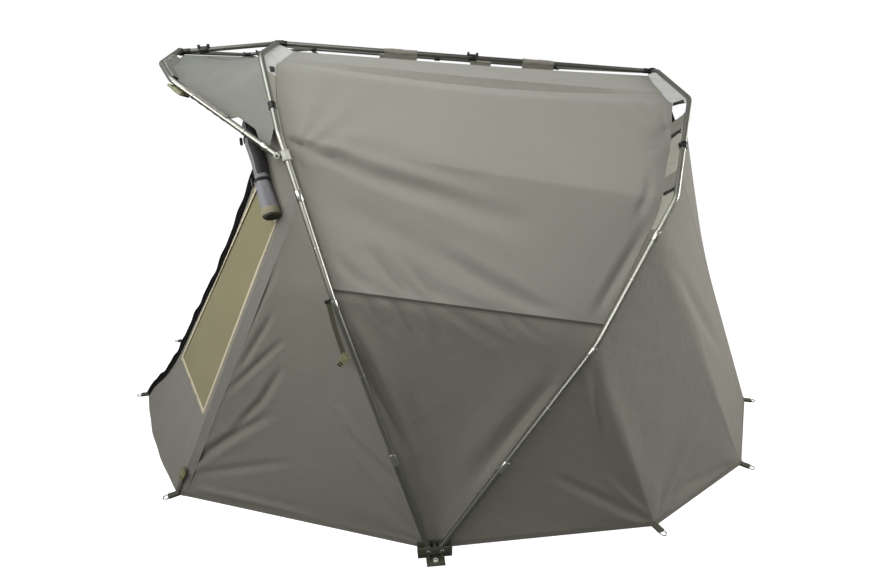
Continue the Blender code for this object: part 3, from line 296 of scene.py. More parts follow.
def look(name):
    """The finish of that name, made on first use."""
    if name not in LOOKS:
        c = colours()
        rows = {
            "roof_fabric": (cloth_material, "roof_cloth", c.roof),
            # The wall cloth is the roof's fabric made darker as painted shade.
            "wall_fabric": (cloth_material, "wall_cloth", c.wall),
            "gusset_fabric": (cloth_material, "gusset_cloth", (0.56, 0.565, 0.55), 0.05, 0.7, 0.1),
            # The hood is the roof's cloth, darkened here as painted shade where it gets less light.
            "hood_fabric": (cloth_material, "hood_fabric", toned(c.roof, 0.79, 0.82, 0.83)),
            "strip_cloth": (cloth_material, "strip_cloth", (0.33, 0.32, 0.27), 0.05, 0.75, 0.1),
            "roll_grey": (cloth_material, "roll_grey", (0.22, 0.22, 0.24), 0.10, 0.6, 0.5),
            "roll_black": (cloth_material, "roll_black", (0.030, 0.031, 0.032), 0.1, 0.6, 0.5),
            "roll_end": (cloth_material, "roll_end", (0.25, 0.235, 0.16), 0.1, 0.8, 0.3),
            "mesh": (net_material, "window_mesh", c.mesh),
            "binding": (webbing_material, "binding", c.binding),
            "seam_tape": (cloth_material, "seam_tape", toned(c.wall, 0.82), 0.04, 0.8, 0.1),
            "seam_dark": (cloth_material, "seam_dark", toned(c.wall, 0.42), 0.04, 0.85, 0.05),
            "fold_band": (cloth_material, "fold_band", (0.235, 0.226, 0.205), 0.05, 0.75, 0.1),
            "zip": (webbing_material, "zip_tape", (0.006, 0.0056, 0.005), 0.0),
            # Black webbing for the ties and loops, also used for the black strips of painted shadow at the
            # roof's tabs.
            "black_webbing": (webbing_material, "black_webbing", (0.016, 0.016, 0.014)),
            "webbing": (webbing_material, "webbing", (0.085, 0.083, 0.055)),
            "thread": (plastic_material, "thread", (0.10, 0.095, 0.075), 0.8),
            "aluminium": (metal_material, "tube", c.tube, 0.36),
            "leg_tube": (metal_material, "leg_tube", toned(c.tube, 0.72), 0.42),
            "bar_tube": (metal_material, "bar_tube", toned(c.tube, 0.34), 0.40, 0.7),
            "ferrule": (metal_material, "ferrule", toned(c.tube, 1.45), 0.28),
            "steel": (metal_material, "steel", (0.62, 0.62, 0.60), 0.25, 1.0, 0.04),
            "hub": (plastic_material, "hub", (0.055, 0.058, 0.038), 0.5),
            "black_plastic": (plastic_material, "black_plastic", (0.012, 0.012, 0.011), 0.4),
            "pale_plastic": (plastic_material, "pale_plastic", (0.52, 0.53, 0.46), 0.4),
            "olive_plastic": (plastic_material, "olive_plastic", c.buckle, 0.4),
        }
        maker, *values = rows[name]
        LOOKS[name] = maker(*values)
    return LOOKS[name]


# Rib and hood lines, the same as the frame's
def arr(point):
    """A point as an array."""
    return np.array(point, float)


def arrayed(points):
    """Points as the rows of an array."""
    return np.array([tuple(p) for p in points], float)


def run_lengths(line):
    """The length along a line up to each of its points."""
    return np.concatenate(([0], np.cumsum(np.linalg.norm(np.diff(line, axis=0), axis=1))))


def read_line(want, places, line):
    """Points of a line at wanted places."""
    return np.stack([np.interp(want, places, line[:, k]) for k in range(3)], axis=-1)


def rounded(corners, radii, run_steps=1, turn_steps=6):
    """Points along straight runs, with each inner corner turned on about its radius."""
    corners = [Vector(corner) for corner in corners]
    shares = [step / turn_steps for step in range(turn_steps + 1)]
    turns = [[corners[0]]]
    for before, corner, after, radius in zip(corners, corners[1:], corners[2:], radii[1:]):
        back, ahead = before - corner, after - corner
        bend = math.pi - back.angle(ahead)
        reach = min(radius * math.tan(bend / 2), 0.45 * back.length, 0.45 * ahead.length)
        first, last = corner + back.normalized() * reach, corner + ahead.normalized() * reach
        turns.append([first.lerp(corner, s).lerp(corner.lerp(last, s), s) for s in shares])
    turns.append([corners[-1]])
    points = [corners[0]]
    for low, high in zip(turns, turns[1:]):
        points += [low[-1].lerp(high[0], step / run_steps) for step in range(1, run_steps + 1)]
        points += high[1:]
    return points


def rib_world(rib, side, half, up):
    """A point of a rib's plane in the world."""
    across = HUB_X + rib * (PIN_HALF_GAP + up * math.sin(LEAN[rib]))
    return Vector((across, side * half, PIN_UP + up * math.cos(LEAN[rib])))


def moved_in(corners, distance):
    """A profile's corners moved inward, without its last one."""
    moved = []
    for index, corner in enumerate(corners[:-1]):
        after = (corners[index + 1] - corner).normalized()
        before = (corner - corners[index - 1]).normalized() if index else after
        inward = (Vector((-after.y, after.x)) + Vector((-before.y, before.x))).normalized()
        moved.append(corner + inward * distance / inward.dot(Vector((-after.y, after.x))))
    return moved


def mirrored(half):
    """One half of a profile, and its mirror image back down the other side."""
    return [(p.x, p.y, 0) for p in half] + [(-p.x, p.y, 0) for p in half[::-1]]


def inset_profile(rib, distance):
    """The rib's corner profile moved inward in the rib's plane."""
    corners = [Vector(corner) for corner in CORNERS[rib]]
    return moved_in(corners + [Vector((0, CORNERS[rib][-1][1]))], distance)


def profile_at(profile, up):
    """The point of a profile at a height up the rib's plane."""
    for low, high in zip(profile, profile[1:]):
        if low.y <= up <= high.y:
            return low.lerp(high, (up - low.y) / (high.y - low.y))
    return profile[0] + (profile[1] - profile[0]) * (up - profile[0].y) / (profile[1].y - profile[0].y)


def hem_up(rib):
    """Height up the rib's plane where its cloth line meets the hem."""
    return (HEM_UP - PIN_UP) / math.cos(LEAN[rib])


def side_line(rib, side, low, high, run_steps, inset=FABRIC_INSET, turn_steps=2):
    """The cloth's line under one side of a rib between two heights."""
    profile = inset_profile(rib, inset)
    inner = [(p, r) for p, r in list(zip(profile, CORNER_RADII))[1:] if low < p.y < high]
    corners = [profile_at(profile, low)] + [p for p, _ in inner] + [profile_at(profile, high)]
    radii = [0] + [max(r - inset, 0.010) for _, r in inner] + [0]
    flat = rounded([(*p, 0) for p in corners], radii, run_steps, turn_steps)
    return [rib_world(rib, side, p.x, p.y) for p in flat]


def arch_line(rib, low, run_steps, inset=FABRIC_INSET, turn_steps=2):
    """The cloth's line over the whole rib."""
    profile = inset_profile(rib, inset)
    inner = [(p, r) for p, r in zip(profile, CORNER_RADII) if p.y > low]
    corners = [profile_at(profile, low)] + [p for p, _ in inner]
    radii = [0] + [max(r - inset, 0.010) for _, r in inner]
    flat = rounded(mirrored(corners), radii + radii[::-1], run_steps, turn_steps)
    return [rib_world(rib, NEAR, p.x, p.y) for p in flat]


def bracket_axis():
    """The hood's hinge line: its X and Z."""
    spot = rib_world(FRONT, NEAR, 0, BRACKET_UP)
    return spot.x - BRACKET_AHEAD, spot.z


def bracket_half():
    """Half width of the front rib at its hood brackets."""
    return profile_at([Vector(c) for c in CORNERS[FRONT]], BRACKET_UP).x


def peak_world(half, out):
    """A point of the hood rib's plane."""
    axis_x, axis_z = bracket_axis()
    return Vector((axis_x - out * math.cos(PEAK_RISE), half, axis_z + out * math.sin(PEAK_RISE)))


def peak_arch(inset, low_out, run_steps, turn_steps):
    """A line over the whole hood rib, moved inward for the cloth."""
    corners = [Vector((bracket_half(), 0))] + [Vector(c) for c in PEAK_CORNERS]
    moved = moved_in(corners + [Vector((0, PEAK_CORNERS[-1][1]))], inset)
    start = moved[0].lerp(moved[1], (low_out - moved[0].y) / (moved[1].y - moved[0].y))
    radii = [0] + [max(r - inset, 0.010) for r in PEAK_RADII]
    flat = rounded(mirrored([start] + moved[1:]), radii + radii[::-1], run_steps, turn_steps)
    return [peak_world(-p.x, p.y) for p in flat]


def hood_leg(side):
    """The hood rib's straight run from its bracket to its elbow: both ends and the direction."""
    start = peak_world(side * bracket_half(), 0)
    elbow = peak_world(side * PEAK_CORNERS[0][0], PEAK_CORNERS[0][1])
    return start, elbow, (elbow - start).normalized()


def resample(points, steps):
    """The same line with evenly spaced points."""
    line = arrayed(points)
    lengths = run_lengths(line)
    return read_line(np.linspace(0, lengths[-1], steps + 1), lengths, line)


def straight(start, end, steps):
    """Evenly spaced points between two ends."""
    share = np.linspace(0, 1, steps + 1)[:, None]
    return arr(start) * (1 - share) + arr(end) * share


def peg(word, side):
    """A pegging point on the hem."""
    x, y = PEGS[word]
    return Vector((HUB_X + x, y * -side, HEM_UP))


def fold_line(side, steps):
    """The seam from the front corner up to the front rib."""
    top = profile_at(inset_profile(FRONT, FABRIC_INSET), FOLD_TOP_UP)
    high, low = rib_world(FRONT, side, top.x, top.y), peg("front", side)
    return straight(low, low.lerp(high, 1 - JOIN_GAP / (high - low).length), steps)


def zip_line(side, steps):
    """The door's zip line, from the door corner up to the front rib."""
    top = profile_at(inset_profile(FRONT, FABRIC_INSET + 0.0056), ZIP_TOP_UP)
    return straight(peg("door", side), rib_world(FRONT, side, top.x, top.y), steps)


def opening_line(side, steps):
    """The door's free edge: the zip line, drawn in by the cloth's pull."""
    dense = np.linspace(0, 1, 401)
    bow = np.interp(dense, BOW_UP_SHARES, BOW_SHARES)
    bow = np.convolve(np.pad(bow, 18, mode="edge"), np.ones(37) / 37, "valid") * np.minimum(1, dense / 0.02)
    share = np.linspace(0, 1, steps + 1)
    bow = np.interp(share, dense, bow)
    return np.array([panel_spot(side, 1 - b, s) for b, s in zip(bow, share)])


def panel_spot(side, across, up):
    """A point of the front panel by its shares across and up."""
    seam, opening = fold_line(side, 1), zip_line(side, 1)
    low = seam[0] * (1 - up) + seam[1] * up
    return low * (1 - across) + (opening[0] * (1 - up) + opening[1] * up) * across


def panel_outward(side):
    """The front panel's outward direction."""
    low = panel_spot(side, 0, 0)
    outward = np.cross(panel_spot(side, 1, 0) - low, panel_spot(side, 0, 1) - low)
    outward /= np.linalg.norm(outward)
    return outward if outward @ (low - INSIDE) > 0 else -outward


# Shared makers
def link(name, data):
    """A new object in the scene."""
    item = bpy.data.objects.new(name, data)
    bpy.context.scene.collection.objects.link(item)
    return item


def settle(item):
    """Turn an object with modifiers into a plain mesh at the origin."""
    bpy.context.view_layer.update()
    graph = bpy.context.evaluated_depsgraph_get()
    data = bpy.data.meshes.new_from_object(item.evaluated_get(graph))
    data.transform(item.matrix_world)
    name = item.name
    looks = [s.material for s in item.material_slots]
    bpy.data.objects.remove(item, do_unlink=True)
    shape = bmesh.new()
    shape.from_mesh(data)
    bmesh.ops.remove_doubles(shape, verts=shape.verts, dist=0.00001)
    shape.to_mesh(data)
    shape.free()
    made = link(name, data)
    made.name = name
    if not made.data.materials:
        for material in looks:
            made.data.materials.append(material)
    return made


def smooth(item, degrees=40):
    """Shade round parts smooth."""
    item.data.shade_smooth()
    item.data.set_sharp_from_angle(angle=math.radians(degrees))
    return item


def belong(item, body, replaced=None):
    """A piece rides a body, and the solid that it replaces is hidden."""
    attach(item, body)
    if replaced:
        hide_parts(replaced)
    return item


def tube(name, points, radius, finish, resolution=4):
    """A round tube along points."""
    curve = bpy.data.curves.new(name, "CURVE")
    curve.dimensions = "3D"
    curve.bevel_depth = radius
    curve.bevel_resolution = resolution
    curve.use_fill_caps = True
    line = curve.splines.new("POLY")
    line.points.add(len(points) - 1)
    for index, point in enumerate(points):
        line.points[index].co = (*point, 1)
    curve.materials.append(look(finish))
    return smooth(settle(link(name, curve)))


def solid(name, shape, finish, degrees=40):
    """An object from a bmesh, which it frees."""
    bmesh.ops.recalc_face_normals(shape, faces=shape.faces[:])
    data = bpy.data.meshes.new(name)
    shape.to_mesh(data)
    shape.free()
    data.materials.append(look(finish))
    return smooth(link(name, data), degrees)


def soften(shape, edges, bevel):
    """Bevel edges where a width is given."""
    if bevel:
        bmesh.ops.bevel(shape, geom=edges, offset=bevel, segments=2, affect="EDGES", profile=0.5)


def skin(shape, rows):
    """Faces between rows of points round a body, and over both its ends."""
    size = len(rows[0])
    for low, high in zip(rows, rows[1:]):
        for k in range(size):
            shape.faces.new((low[k], low[(k + 1) % size], high[(k + 1) % size], high[k]))
    shape.faces.new(rows[0])
    shape.faces.new(rows[-1])


def basis(along, up, centre):
    """A matrix whose X runs along, and whose Z is as near to up as it can be."""
    x = Vector(along).normalized()
    y = Vector(up).cross(x).normalized()
    turn = Matrix((x, y, x.cross(y))).transposed().to_4x4()
    turn.translation = Vector(centre)
    return turn


def block(name, size, matrix, finish, bevel=0.0008):
    """A box with softened edges."""
    shape = bmesh.new()
    bmesh.ops.create_cube(shape, size=1.0)
    shape.transform(Matrix.Diagonal((*size, 1)))
    soften(shape, shape.edges[:], bevel)
    shape.transform(matrix)
    return solid(name, shape, finish)


def rod(name, radius, start, end, finish, sides=28, bevel=0.0):
    """A cylinder between two points."""
    start, end = Vector(start), Vector(end)
    along = end - start
    shape = bmesh.new()
    bmesh.ops.create_cone(
        shape, cap_ends=True, segments=sides, radius1=radius, radius2=radius, depth=along.length
    )
    soften(shape, [e for e in shape.edges if any(len(f.verts) > 4 for f in e.link_faces)], bevel)
    shape.transform(along.to_track_quat("Z", "Y").to_matrix().to_4x4())
    shape.transform(Matrix.Translation((start + end) / 2))
    return solid(name, shape, finish)


def ring(name, centre, axis, radius, wire, finish, major=28, minor=10):
    """A torus about an axis."""
    shape = bmesh.new()
    rows = []
    for i in range(major):
        turn = 2 * math.pi * i / major
        row = []
        for k in range(minor):
            roll = 2 * math.pi * k / minor
            reach = radius + wire * math.cos(roll)
            spot = (reach * math.cos(turn), reach * math.sin(turn), wire * math.sin(roll))
            row.append(shape.verts.new(spot))
        rows.append(row)
    for a, b in zip(rows, rows[1:] + rows[:1]):
        for k in range(minor):
            shape.faces.new((a[k], b[k], b[(k + 1) % minor], a[(k + 1) % minor]))
    shape.transform(Vector(axis).to_track_quat("Z", "Y").to_matrix().to_4x4())
    shape.transform(Matrix.Translation(Vector(centre)))
    return solid(name, shape, finish, degrees=80)


def joined(name, items):
    """One object of several that share a body."""
    target = items[0]
    if len(items) > 1:
        with bpy.context.temp_override(
            active_object=target, selected_objects=items, selected_editable_objects=items, object=target
        ):
            bpy.ops.object.join()
    target.name = name
    target.data.name = name
    return target


def plane_blend(item, rib, reach):
    """Bake a cloth piece's placement into its mesh; the direction away from the rib is worked out but not
    used.

    A positive reach lies outside the two ribs, and a negative one between them.
    """
    lean = LEAN[rib]
    away = Vector((rib * math.cos(lean), 0, -math.sin(lean)))
    if reach < 0:
        away = -away
    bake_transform(item)
    return item


def hood_blend(item):
    """Bake a hood cloth piece's placement into its mesh."""
    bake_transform(item)
    return item


# Folds and wrinkles, as pushes along the cloth's normal


def hang(item, rib, reach, replaced=None):
    """A cloth piece with its placement baked into its mesh, and the solid that it replaces hidden."""
    plane_blend(item, rib, reach)
    if replaced:
        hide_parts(replaced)
    return item


def crease_path(points, spots, depth, width, sharp=False):
    """A fold through several spots, as wide as width or from its first to its last value."""
    wall = np.array((1, 0.15, 1))
    flat, spots = points * wall, arr(spots) * wall
    steps = np.linalg.norm(np.diff(spots, axis=0), axis=1)
    nearest = np.full(points.shape[:-1], 1e9)
    place = np.zeros(points.shape[:-1])
    passed = 0
    for start, end, length in zip(spots, spots[1:], steps):
        along = end - start
        share = np.clip((flat - start) @ along / (along @ along), 0, 1)
        gap = np.linalg.norm(flat - (start + share[..., None] * along), axis=-1)
        place = np.where(gap < nearest, (passed + share * length) / steps.sum(), place)
        nearest = np.minimum(gap, nearest)
        passed += length
    first, last = width if isinstance(width, tuple) else (width, width)
    wide = first + (last - first) * place
    away = nearest / wide
    shape = (1 - 1.1 * away ** 2) * np.exp(-away ** 2)
    if sharp:
        fade = np.clip(place / 0.03, 0, 1) * np.clip((1 - place) / 0.45, 0, 1) ** 0.9
    else:
        fade = np.sin(np.pi * np.clip(place, 0.02, 0.98)) ** 0.6
    return -depth * shape * fade * (wide / max(first, last)) ** 0.7


def fan(points, centre, first, second, waves, depth, reach, phase):
    """Folds that spread out from a corner between two directions."""
    centre, first, second = arr(centre), arr(first), arr(second)
    first, second = first / np.linalg.norm(first), second / np.linalg.norm(second)
    away = points - centre
    radius = np.linalg.norm(away, axis=-1) + 1e-6
    turn = np.arctan2(away @ second, away @ first)
    wave = np.cos(waves * turn + phase + 1.3 * np.sin(2.1 * turn + phase))
    return depth * wave * np.clip(radius / 0.08, 0, 1) * np.exp(-(radius / reach) ** 2)


def folded(points, folds, fans=()):
    """The sum of several folds and fans."""
    total = sum(crease_path(points, *row) for row in folds)
    return total + sum(fan(points, *row) for row in fans)


def ripples(points, seed, depth, stretch, low, high):
    """Gentle unevenness from a seeded sum of long waves."""
    source = np.random.default_rng(seed)
    total = np.zeros(points.shape[:-1])
    waves = 14
    for _ in range(waves):
        way = source.normal(size=3) * np.array(stretch)
        way /= np.linalg.norm(way) + 1e-9
        pitch = source.uniform(low, high)
        total += np.sin(points @ way * pitch + source.uniform(0, 6.28)) * (low / pitch)
    return depth * total / math.sqrt(waves)


def edge_fade(shares, length, reach=0.05):
    """Nought at both edges of a cloth, and one away from them."""
    from_edge = np.minimum(shares, 1 - shares) * length
    share = np.clip(from_edge / reach, 0, 1)
    return share * share * (3 - 2 * share)


def grid_normals(grid):
    """Outward normals of a grid of points."""
    normal = np.cross(np.gradient(grid, axis=0), np.gradient(grid, axis=1))
    normal = normal / np.maximum(np.linalg.norm(normal, axis=-1, keepdims=True), 1e-9)
    middle = grid.shape[0] // 2, grid.shape[1] // 2
    return normal if normal[middle] @ (grid[middle] - INSIDE) >= 0 else -normal


def grid_area(grid):
    """Area of a grid of points."""
    one = np.cross(grid[1:, :-1] - grid[:-1, :-1], grid[:-1, 1:] - grid[:-1, :-1])
    two = np.cross(grid[1:, :-1] - grid[1:, 1:], grid[:-1, 1:] - grid[1:, 1:])
    return float((np.linalg.norm(one, axis=2) + np.linalg.norm(two, axis=2)).sum() / 2)


class Cloth:
    """A sheet ruled between two lines, with sag and folds: its grids of points and its object."""

    def __init__(self, name, lines, steps, finish, sag, push, keep=(0.0, 1.0), fade=0.03,
                 trim=(EDGE_TRIM, EDGE_TRIM), scallop=(0.0, 0.0)):
        line_a, line_b = (arrayed(line) for line in lines)
        up = np.linspace(0, 1, len(line_a))
        length = np.linalg.norm(line_b - line_a, axis=1)
        first = ((trim[0] + scallop[0]) / length)[:, None]
        last = (1 - (trim[1] + scallop[1]) / length)[:, None]
        across = first + (last - first) * np.linspace(0, 1, steps + 1)
        share = across[..., None]
        base = line_a[:, None] * (1 - share) + line_b[:, None] * share
        deep = sag(up) if callable(sag) else sag * np.sin(np.pi * up)
        base = base - grid_normals(base) * (deep[:, None] * np.sin(np.pi * across))[..., None]
        low, high = (round(k * steps) for k in keep)
        kept = slice(low, high + 1)
        self.area = grid_area(base[:, kept])
        width = np.linalg.norm(base[:, -1] - base[:, 0], axis=1)[:, None]
        height = np.linalg.norm(np.diff(base, axis=0), axis=2).sum(axis=0)[None, :]
        hold = edge_fade(across, np.maximum(width, 0.01), fade) * edge_fade(up[:, None], height, fade)
        base = base + grid_normals(base) * (push(base) * hold * sizes().wrinkle)[..., None]
        self.grid = base[:, kept]
        self.normal = grid_normals(self.grid)
        self.outer = self.grid + self.normal * sizes().cloth
        self.wide = float(np.linalg.norm(np.diff(self.grid, axis=1), axis=2).sum(axis=1).max())
        self.high = float(np.linalg.norm(np.diff(self.grid, axis=0), axis=2).sum(axis=0).max())
        self.item = sheet_object(name, self.grid, self.normal, finish, sizes().cloth)


def sheet_object(name, grid, normal, finish, thick):
    """A grid of points as a closed sheet, thickened along its normals."""
    rows, columns = grid.shape[:2]
    outer = grid + normal * thick
    count = rows * columns
    index = np.arange(count).reshape(rows, columns)
    a, b = index[:-1, :-1].ravel(), index[:-1, 1:].ravel()
    c, d = index[1:, 1:].ravel(), index[1:, :-1].ravel()
    faces = list(zip(a, d, c, b)) + list(zip(a + count, b + count, c + count, d + count))
    rim = list(index[0, :]) + list(index[1:, -1]) + list(index[-1, -2::-1]) + list(index[-2:0:-1, 0])
    for one, two in zip(rim, rim[1:] + rim[:1]):
        faces.append((one, two, two + count, one + count))
    data = bpy.data.meshes.new(name)
    points = np.concatenate((grid.reshape(-1, 3), outer.reshape(-1, 3)))
    data.from_pydata(points.tolist(), [], [tuple(int(v) for v in face) for face in faces])
    data.update()
    shape = bmesh.new()
    shape.from_mesh(data)
    bmesh.ops.remove_doubles(shape, verts=shape.verts, dist=0.00002)
    bmesh.ops.dissolve_degenerate(shape, edges=shape.edges, dist=0.00001)
    bmesh.ops.recalc_face_normals(shape, faces=shape.faces)
    if shape.calc_volume() < 0:
        bmesh.ops.reverse_faces(shape, faces=shape.faces[:])
    shape.to_mesh(data)
    shape.free()
    data.materials.append(look(finish))
    return smooth(link(name, data), 50)


# Geometry nodes for stitches and zip teeth
def repeat_tree(name, kind):
    """A tree that sets small pieces along an edge line: stitches or zip teeth."""
    tree = bpy.data.node_groups.new(name, "GeometryNodeTree")
    for label, way, sort, value in (
        ("Geometry", "INPUT", "Geometry", None), ("Spacing", "INPUT", "Float", 0.01),
        ("Length", "INPUT", "Float", 0.006), ("Width", "INPUT", "Float", 0.0012),
        ("Height", "INPUT", "Float", 0.0008), ("Up", "INPUT", "Vector", (0, 0, 1)),
        ("Finish", "INPUT", "Material", None), ("Geometry", "OUTPUT", "Geometry", None),
    ):
        socket = tree.interface.new_socket(label, in_out=way, socket_type="NodeSocket" + sort)
        if value is not None:
            socket.default_value = value
    nodes = {label: tree.nodes.new(sort) for label, sort in (
        ("start", "NodeGroupInput"), ("end", "NodeGroupOutput"), ("curve", "GeometryNodeMeshToCurve"),
        ("cut", "GeometryNodeResampleCurve"), ("tangent", "GeometryNodeInputTangent"),
        ("aim", "FunctionNodeAlignRotationToVector"), ("lift", "FunctionNodeAlignRotationToVector"),
        ("place", "GeometryNodeInstanceOnPoints"), ("real", "GeometryNodeRealizeInstances"),
        ("paint", "GeometryNodeSetMaterial"), ("size", "ShaderNodeCombineXYZ"),
        ("piece", "GeometryNodeMeshCylinder" if kind == "stitch" else "GeometryNodeMeshCube"),
        ("turn", "GeometryNodeTransform"),
    )}
    nodes["cut"].mode = "LENGTH"
    nodes["aim"].axis = "X"
    nodes["lift"].axis = "Z"
    nodes["lift"].pivot_axis = "X"
    if kind == "stitch":
        for label, value in (("Vertices", 6), ("Radius", 0.5), ("Depth", 1.0)):
            nodes["piece"].inputs[label].default_value = value
        nodes["turn"].inputs["Rotation"].default_value = (0, math.pi / 2, 0)
    for source, output, target, entry in (
        ("start", "Geometry", "curve", "Mesh"), ("curve", "Curve", "cut", "Curve"),
        ("start", "Spacing", "cut", "Length"), ("tangent", "Tangent", "aim", "Vector"),
        ("aim", "Rotation", "lift", "Rotation"), ("start", "Up", "lift", "Vector"),
        ("cut", "Curve", "place", "Points"), ("piece", "Mesh", "turn", "Geometry"),
        ("turn", "Geometry", "place", "Instance"), ("lift", "Rotation", "place", "Rotation"),
        ("start", "Length", "size", "X"), ("start", "Width", "size", "Y"), ("start", "Height", "size", "Z"),
        ("size", "Vector", "place", "Scale"), ("place", "Instances", "real", "Geometry"),
        ("real", "Geometry", "paint", "Geometry"), ("start", "Finish", "paint", "Material"),
        ("paint", "Geometry", "end", "Geometry"),
    ):
        tree.links.new(nodes[source].outputs[output], nodes[target].inputs[entry])
    return tree


def repeated(name, lines, kind, finish, up, spacing, length, width, height):
    """Small pieces along one or more lines of points, as one plain mesh."""
    tree = bpy.data.node_groups.get(kind + "_row") or repeat_tree(kind + "_row", kind)
    data = bpy.data.meshes.new(name)
    points, edges = [], []
    for line in lines:
        first = len(points)
        points += [tuple(p) for p in line]
        edges += [(first + i, first + i + 1) for i in range(len(line) - 1)]
    data.from_pydata(points, edges, [])
    item = link(name, data)
    step = item.modifiers.new("row", "NODES")
    step.node_group = tree
    values = {"Spacing": spacing, "Length": length, "Width": width, "Height": height,
              "Up": tuple(up), "Finish": look(finish)}
    for socket in tree.interface.items_tree:
        if socket.in_out == "INPUT" and socket.name in values:
            step[socket.identifier] = values[socket.name]
    made = settle(item)
    made.data.materials.clear()
    made.data.materials.append(look(finish))
    return made


def stitches(name, lines, up, blend_with):
    """Stitches along lines on a cloth, baked in place as the cloth is."""
    size = sizes().stitch
    made = repeated(name, lines, "stitch", "thread", up, size * 1.35, size, 0.0011, 0.0009)
    blend_with(made)
    return made


# Lines shared by pieces
def matched(lines, rows):
    """Lines of equal count, redrawn together so that their rows are evenly spaced on average."""
    lines = [arrayed(line) for line in lines]
    runs = np.mean([np.linalg.norm(np.diff(line, axis=0), axis=1) for line in lines], axis=0)
    total = np.concatenate(([0], np.cumsum(runs)))
    index = np.interp(np.linspace(0, total[-1], rows), total, np.arange(len(total)))
    return [read_line(index, np.arange(len(line)), line) for line in lines]


def mirror_for(side, points):
    """Points seen from the near side's half, so that both sides share their folds."""
    return points if side == NEAR else points * np.array((1, -1, 1))


def detail():
    return 1.0


def count(number):
    """An even number of steps at the current detail."""
    return max(4, 2 * round(number * detail() / 2))


ROOF_FOLDS = (
    (((-0.535, -1.176, 1.308), (-0.46, -1.187, 1.28), (-0.395, -1.197, 1.252), (-0.29, -1.208, 1.205),
      (-0.112, -1.222, 1.148), (0.03, -1.238, 1.097), (0.16, -1.25, 1.055)), 0.026, (0.011, 0.052), True),
    (((-0.46, -1.18, 1.305), (-0.36, -1.18, 1.285), (-0.217, -1.19, 1.245), (-0.07, -1.205, 1.198),
      (0.06, -1.21, 1.16)), 0.011, (0.016, 0.040)),
    (((-0.41, -1.234, 1.145), (-0.10, -1.28, 0.98)), 0.006, 0.045),
    (((-0.40, -1.285, 1.00), (-0.24, -1.31, 0.85)), 0.0085, 0.020),
    (((-0.31, -1.29, 1.02), (-0.15, -1.31, 0.84)), 0.0090, 0.022),
    (((-0.22, -1.295, 0.99), (-0.05, -1.32, 0.81)), 0.0085, 0.020),
    (((-0.12, -1.275, 1.00), (0.037, -1.307, 0.91), (0.22, -1.34, 0.81)), 0.0130, 0.026),
    (((-0.13, -1.30, 0.94), (0.08, -1.33, 0.82)), -0.0050, 0.020),
    (((0.54, -1.06, 1.285), (0.66, -1.03, 1.305)), 0.0075, 0.012),
    (((0.52, -1.08, 1.262), (0.645, -1.05, 1.290)), 0.0080, 0.012),
    (((0.50, -1.10, 1.235), (0.62, -1.075, 1.265)), 0.0060, 0.013),
    (((0.455, -1.25, 1.08), (0.515, -1.18, 1.18)), 0.0065, 0.018),
    (((0.33, -1.34, 0.82), (0.49, -1.26, 1.05)), 0.0095, 0.026),
)
ROOF_FANS = (
    ((-0.50, -1.16, 1.26), (0.9, 0, -0.15), (0.1, 0, -1), 9, 0.0028, 0.30, 0.6),
    ((0.62, -1.10, 1.26), (-0.9, 0, 0.1), (-0.2, 0, -1), 8, 0.0022, 0.22, 1.9),
)
SIDE_FOLDS = (
    (((-0.335, -1.305, 0.91), (-0.24, -1.315, 0.77)), 0.0060, 0.018),
    (((-0.26, -1.305, 0.90), (-0.17, -1.317, 0.76)), 0.0065, 0.018),
    (((-0.18, -1.31, 0.88), (-0.10, -1.316, 0.76)), 0.0050, 0.016),
    (((-0.09, -1.31, 0.85), (0.05, -1.317, 0.74)), 0.0080, 0.022),
    (((0.03, -1.325, 0.85), (0.10, -1.324, 0.75)), 0.0050, 0.013),
    (((0.075, -1.33, 0.85), (0.17, -1.331, 0.75)), 0.0060, 0.016),
    (((-0.38, -1.319, 0.86), (-0.27, -1.322, 0.66), (-0.19, -1.326, 0.50)), -0.012, 0.030),
    (((-0.35, -1.32, 0.76), (-0.285, -1.328, 0.58), (-0.215, -1.335, 0.38)), 0.014, 0.028),
    (((-0.27, -1.323, 0.56), (-0.16, -1.336, 0.26)), 0.0080, 0.024),
    (((-0.02, -1.35, 0.24), (0.23, -1.355, 0.62)), 0.016, 0.055),
    (((0.13, -1.35, 0.40), (0.33, -1.355, 0.72)), 0.007, 0.022),
)
FRONT_FOLDS = (
    (((-1.00, -1.02, 0.14), (-0.832, -1.085, 0.284), (-0.66, -1.145, 0.42)), 0.011, 0.022),
    (((-0.80, -1.10, 0.33), (-0.682, -1.138, 0.468), (-0.60, -1.17, 0.60)), 0.0085, 0.017),
    (((-1.00, -1.02, 0.10), (-0.60, -1.18, 0.25)), 0.0050, 0.022),
    (((-1.00, -1.02, 0.05), (-0.76, -1.118, 0.045), (-0.52, -1.21, 0.03)), -0.0060, 0.020),
    (((-0.40, -1.265, 0.42), (-0.246, -1.334, 0.248), (-0.19, -1.35, 0.11)), 0.0080, 0.024),
    (((-0.38, -1.275, 0.34), (-0.21, -1.338, 0.09)), -0.0055, 0.020),
    (((-0.44, -1.25, 0.52), (-0.28, -1.32, 0.28)), -0.0050, 0.026),
    (((-0.74, -1.13, 0.58), (-0.60, -1.18, 0.80)), 0.0055, 0.014),
    (((-0.79, -1.105, 0.49), (-0.58, -1.185, 0.71)), 0.0065, 0.015),
    (((-0.70, -1.14, 0.72), (-0.57, -1.19, 0.95)), 0.0035, 0.013),
)
FRONT_FANS = (
    ((-1.06, -1.00, 0.0), (0.8, 0, 0.6), (0.1, 0, 1), 11, 0.0026, 0.55, 0.8),
    ((-0.16, -1.36, 0.03), (-0.9, 0, 0.2), (-0.2, 0, 1), 9, 0.0020, 0.50, 0.3),
)
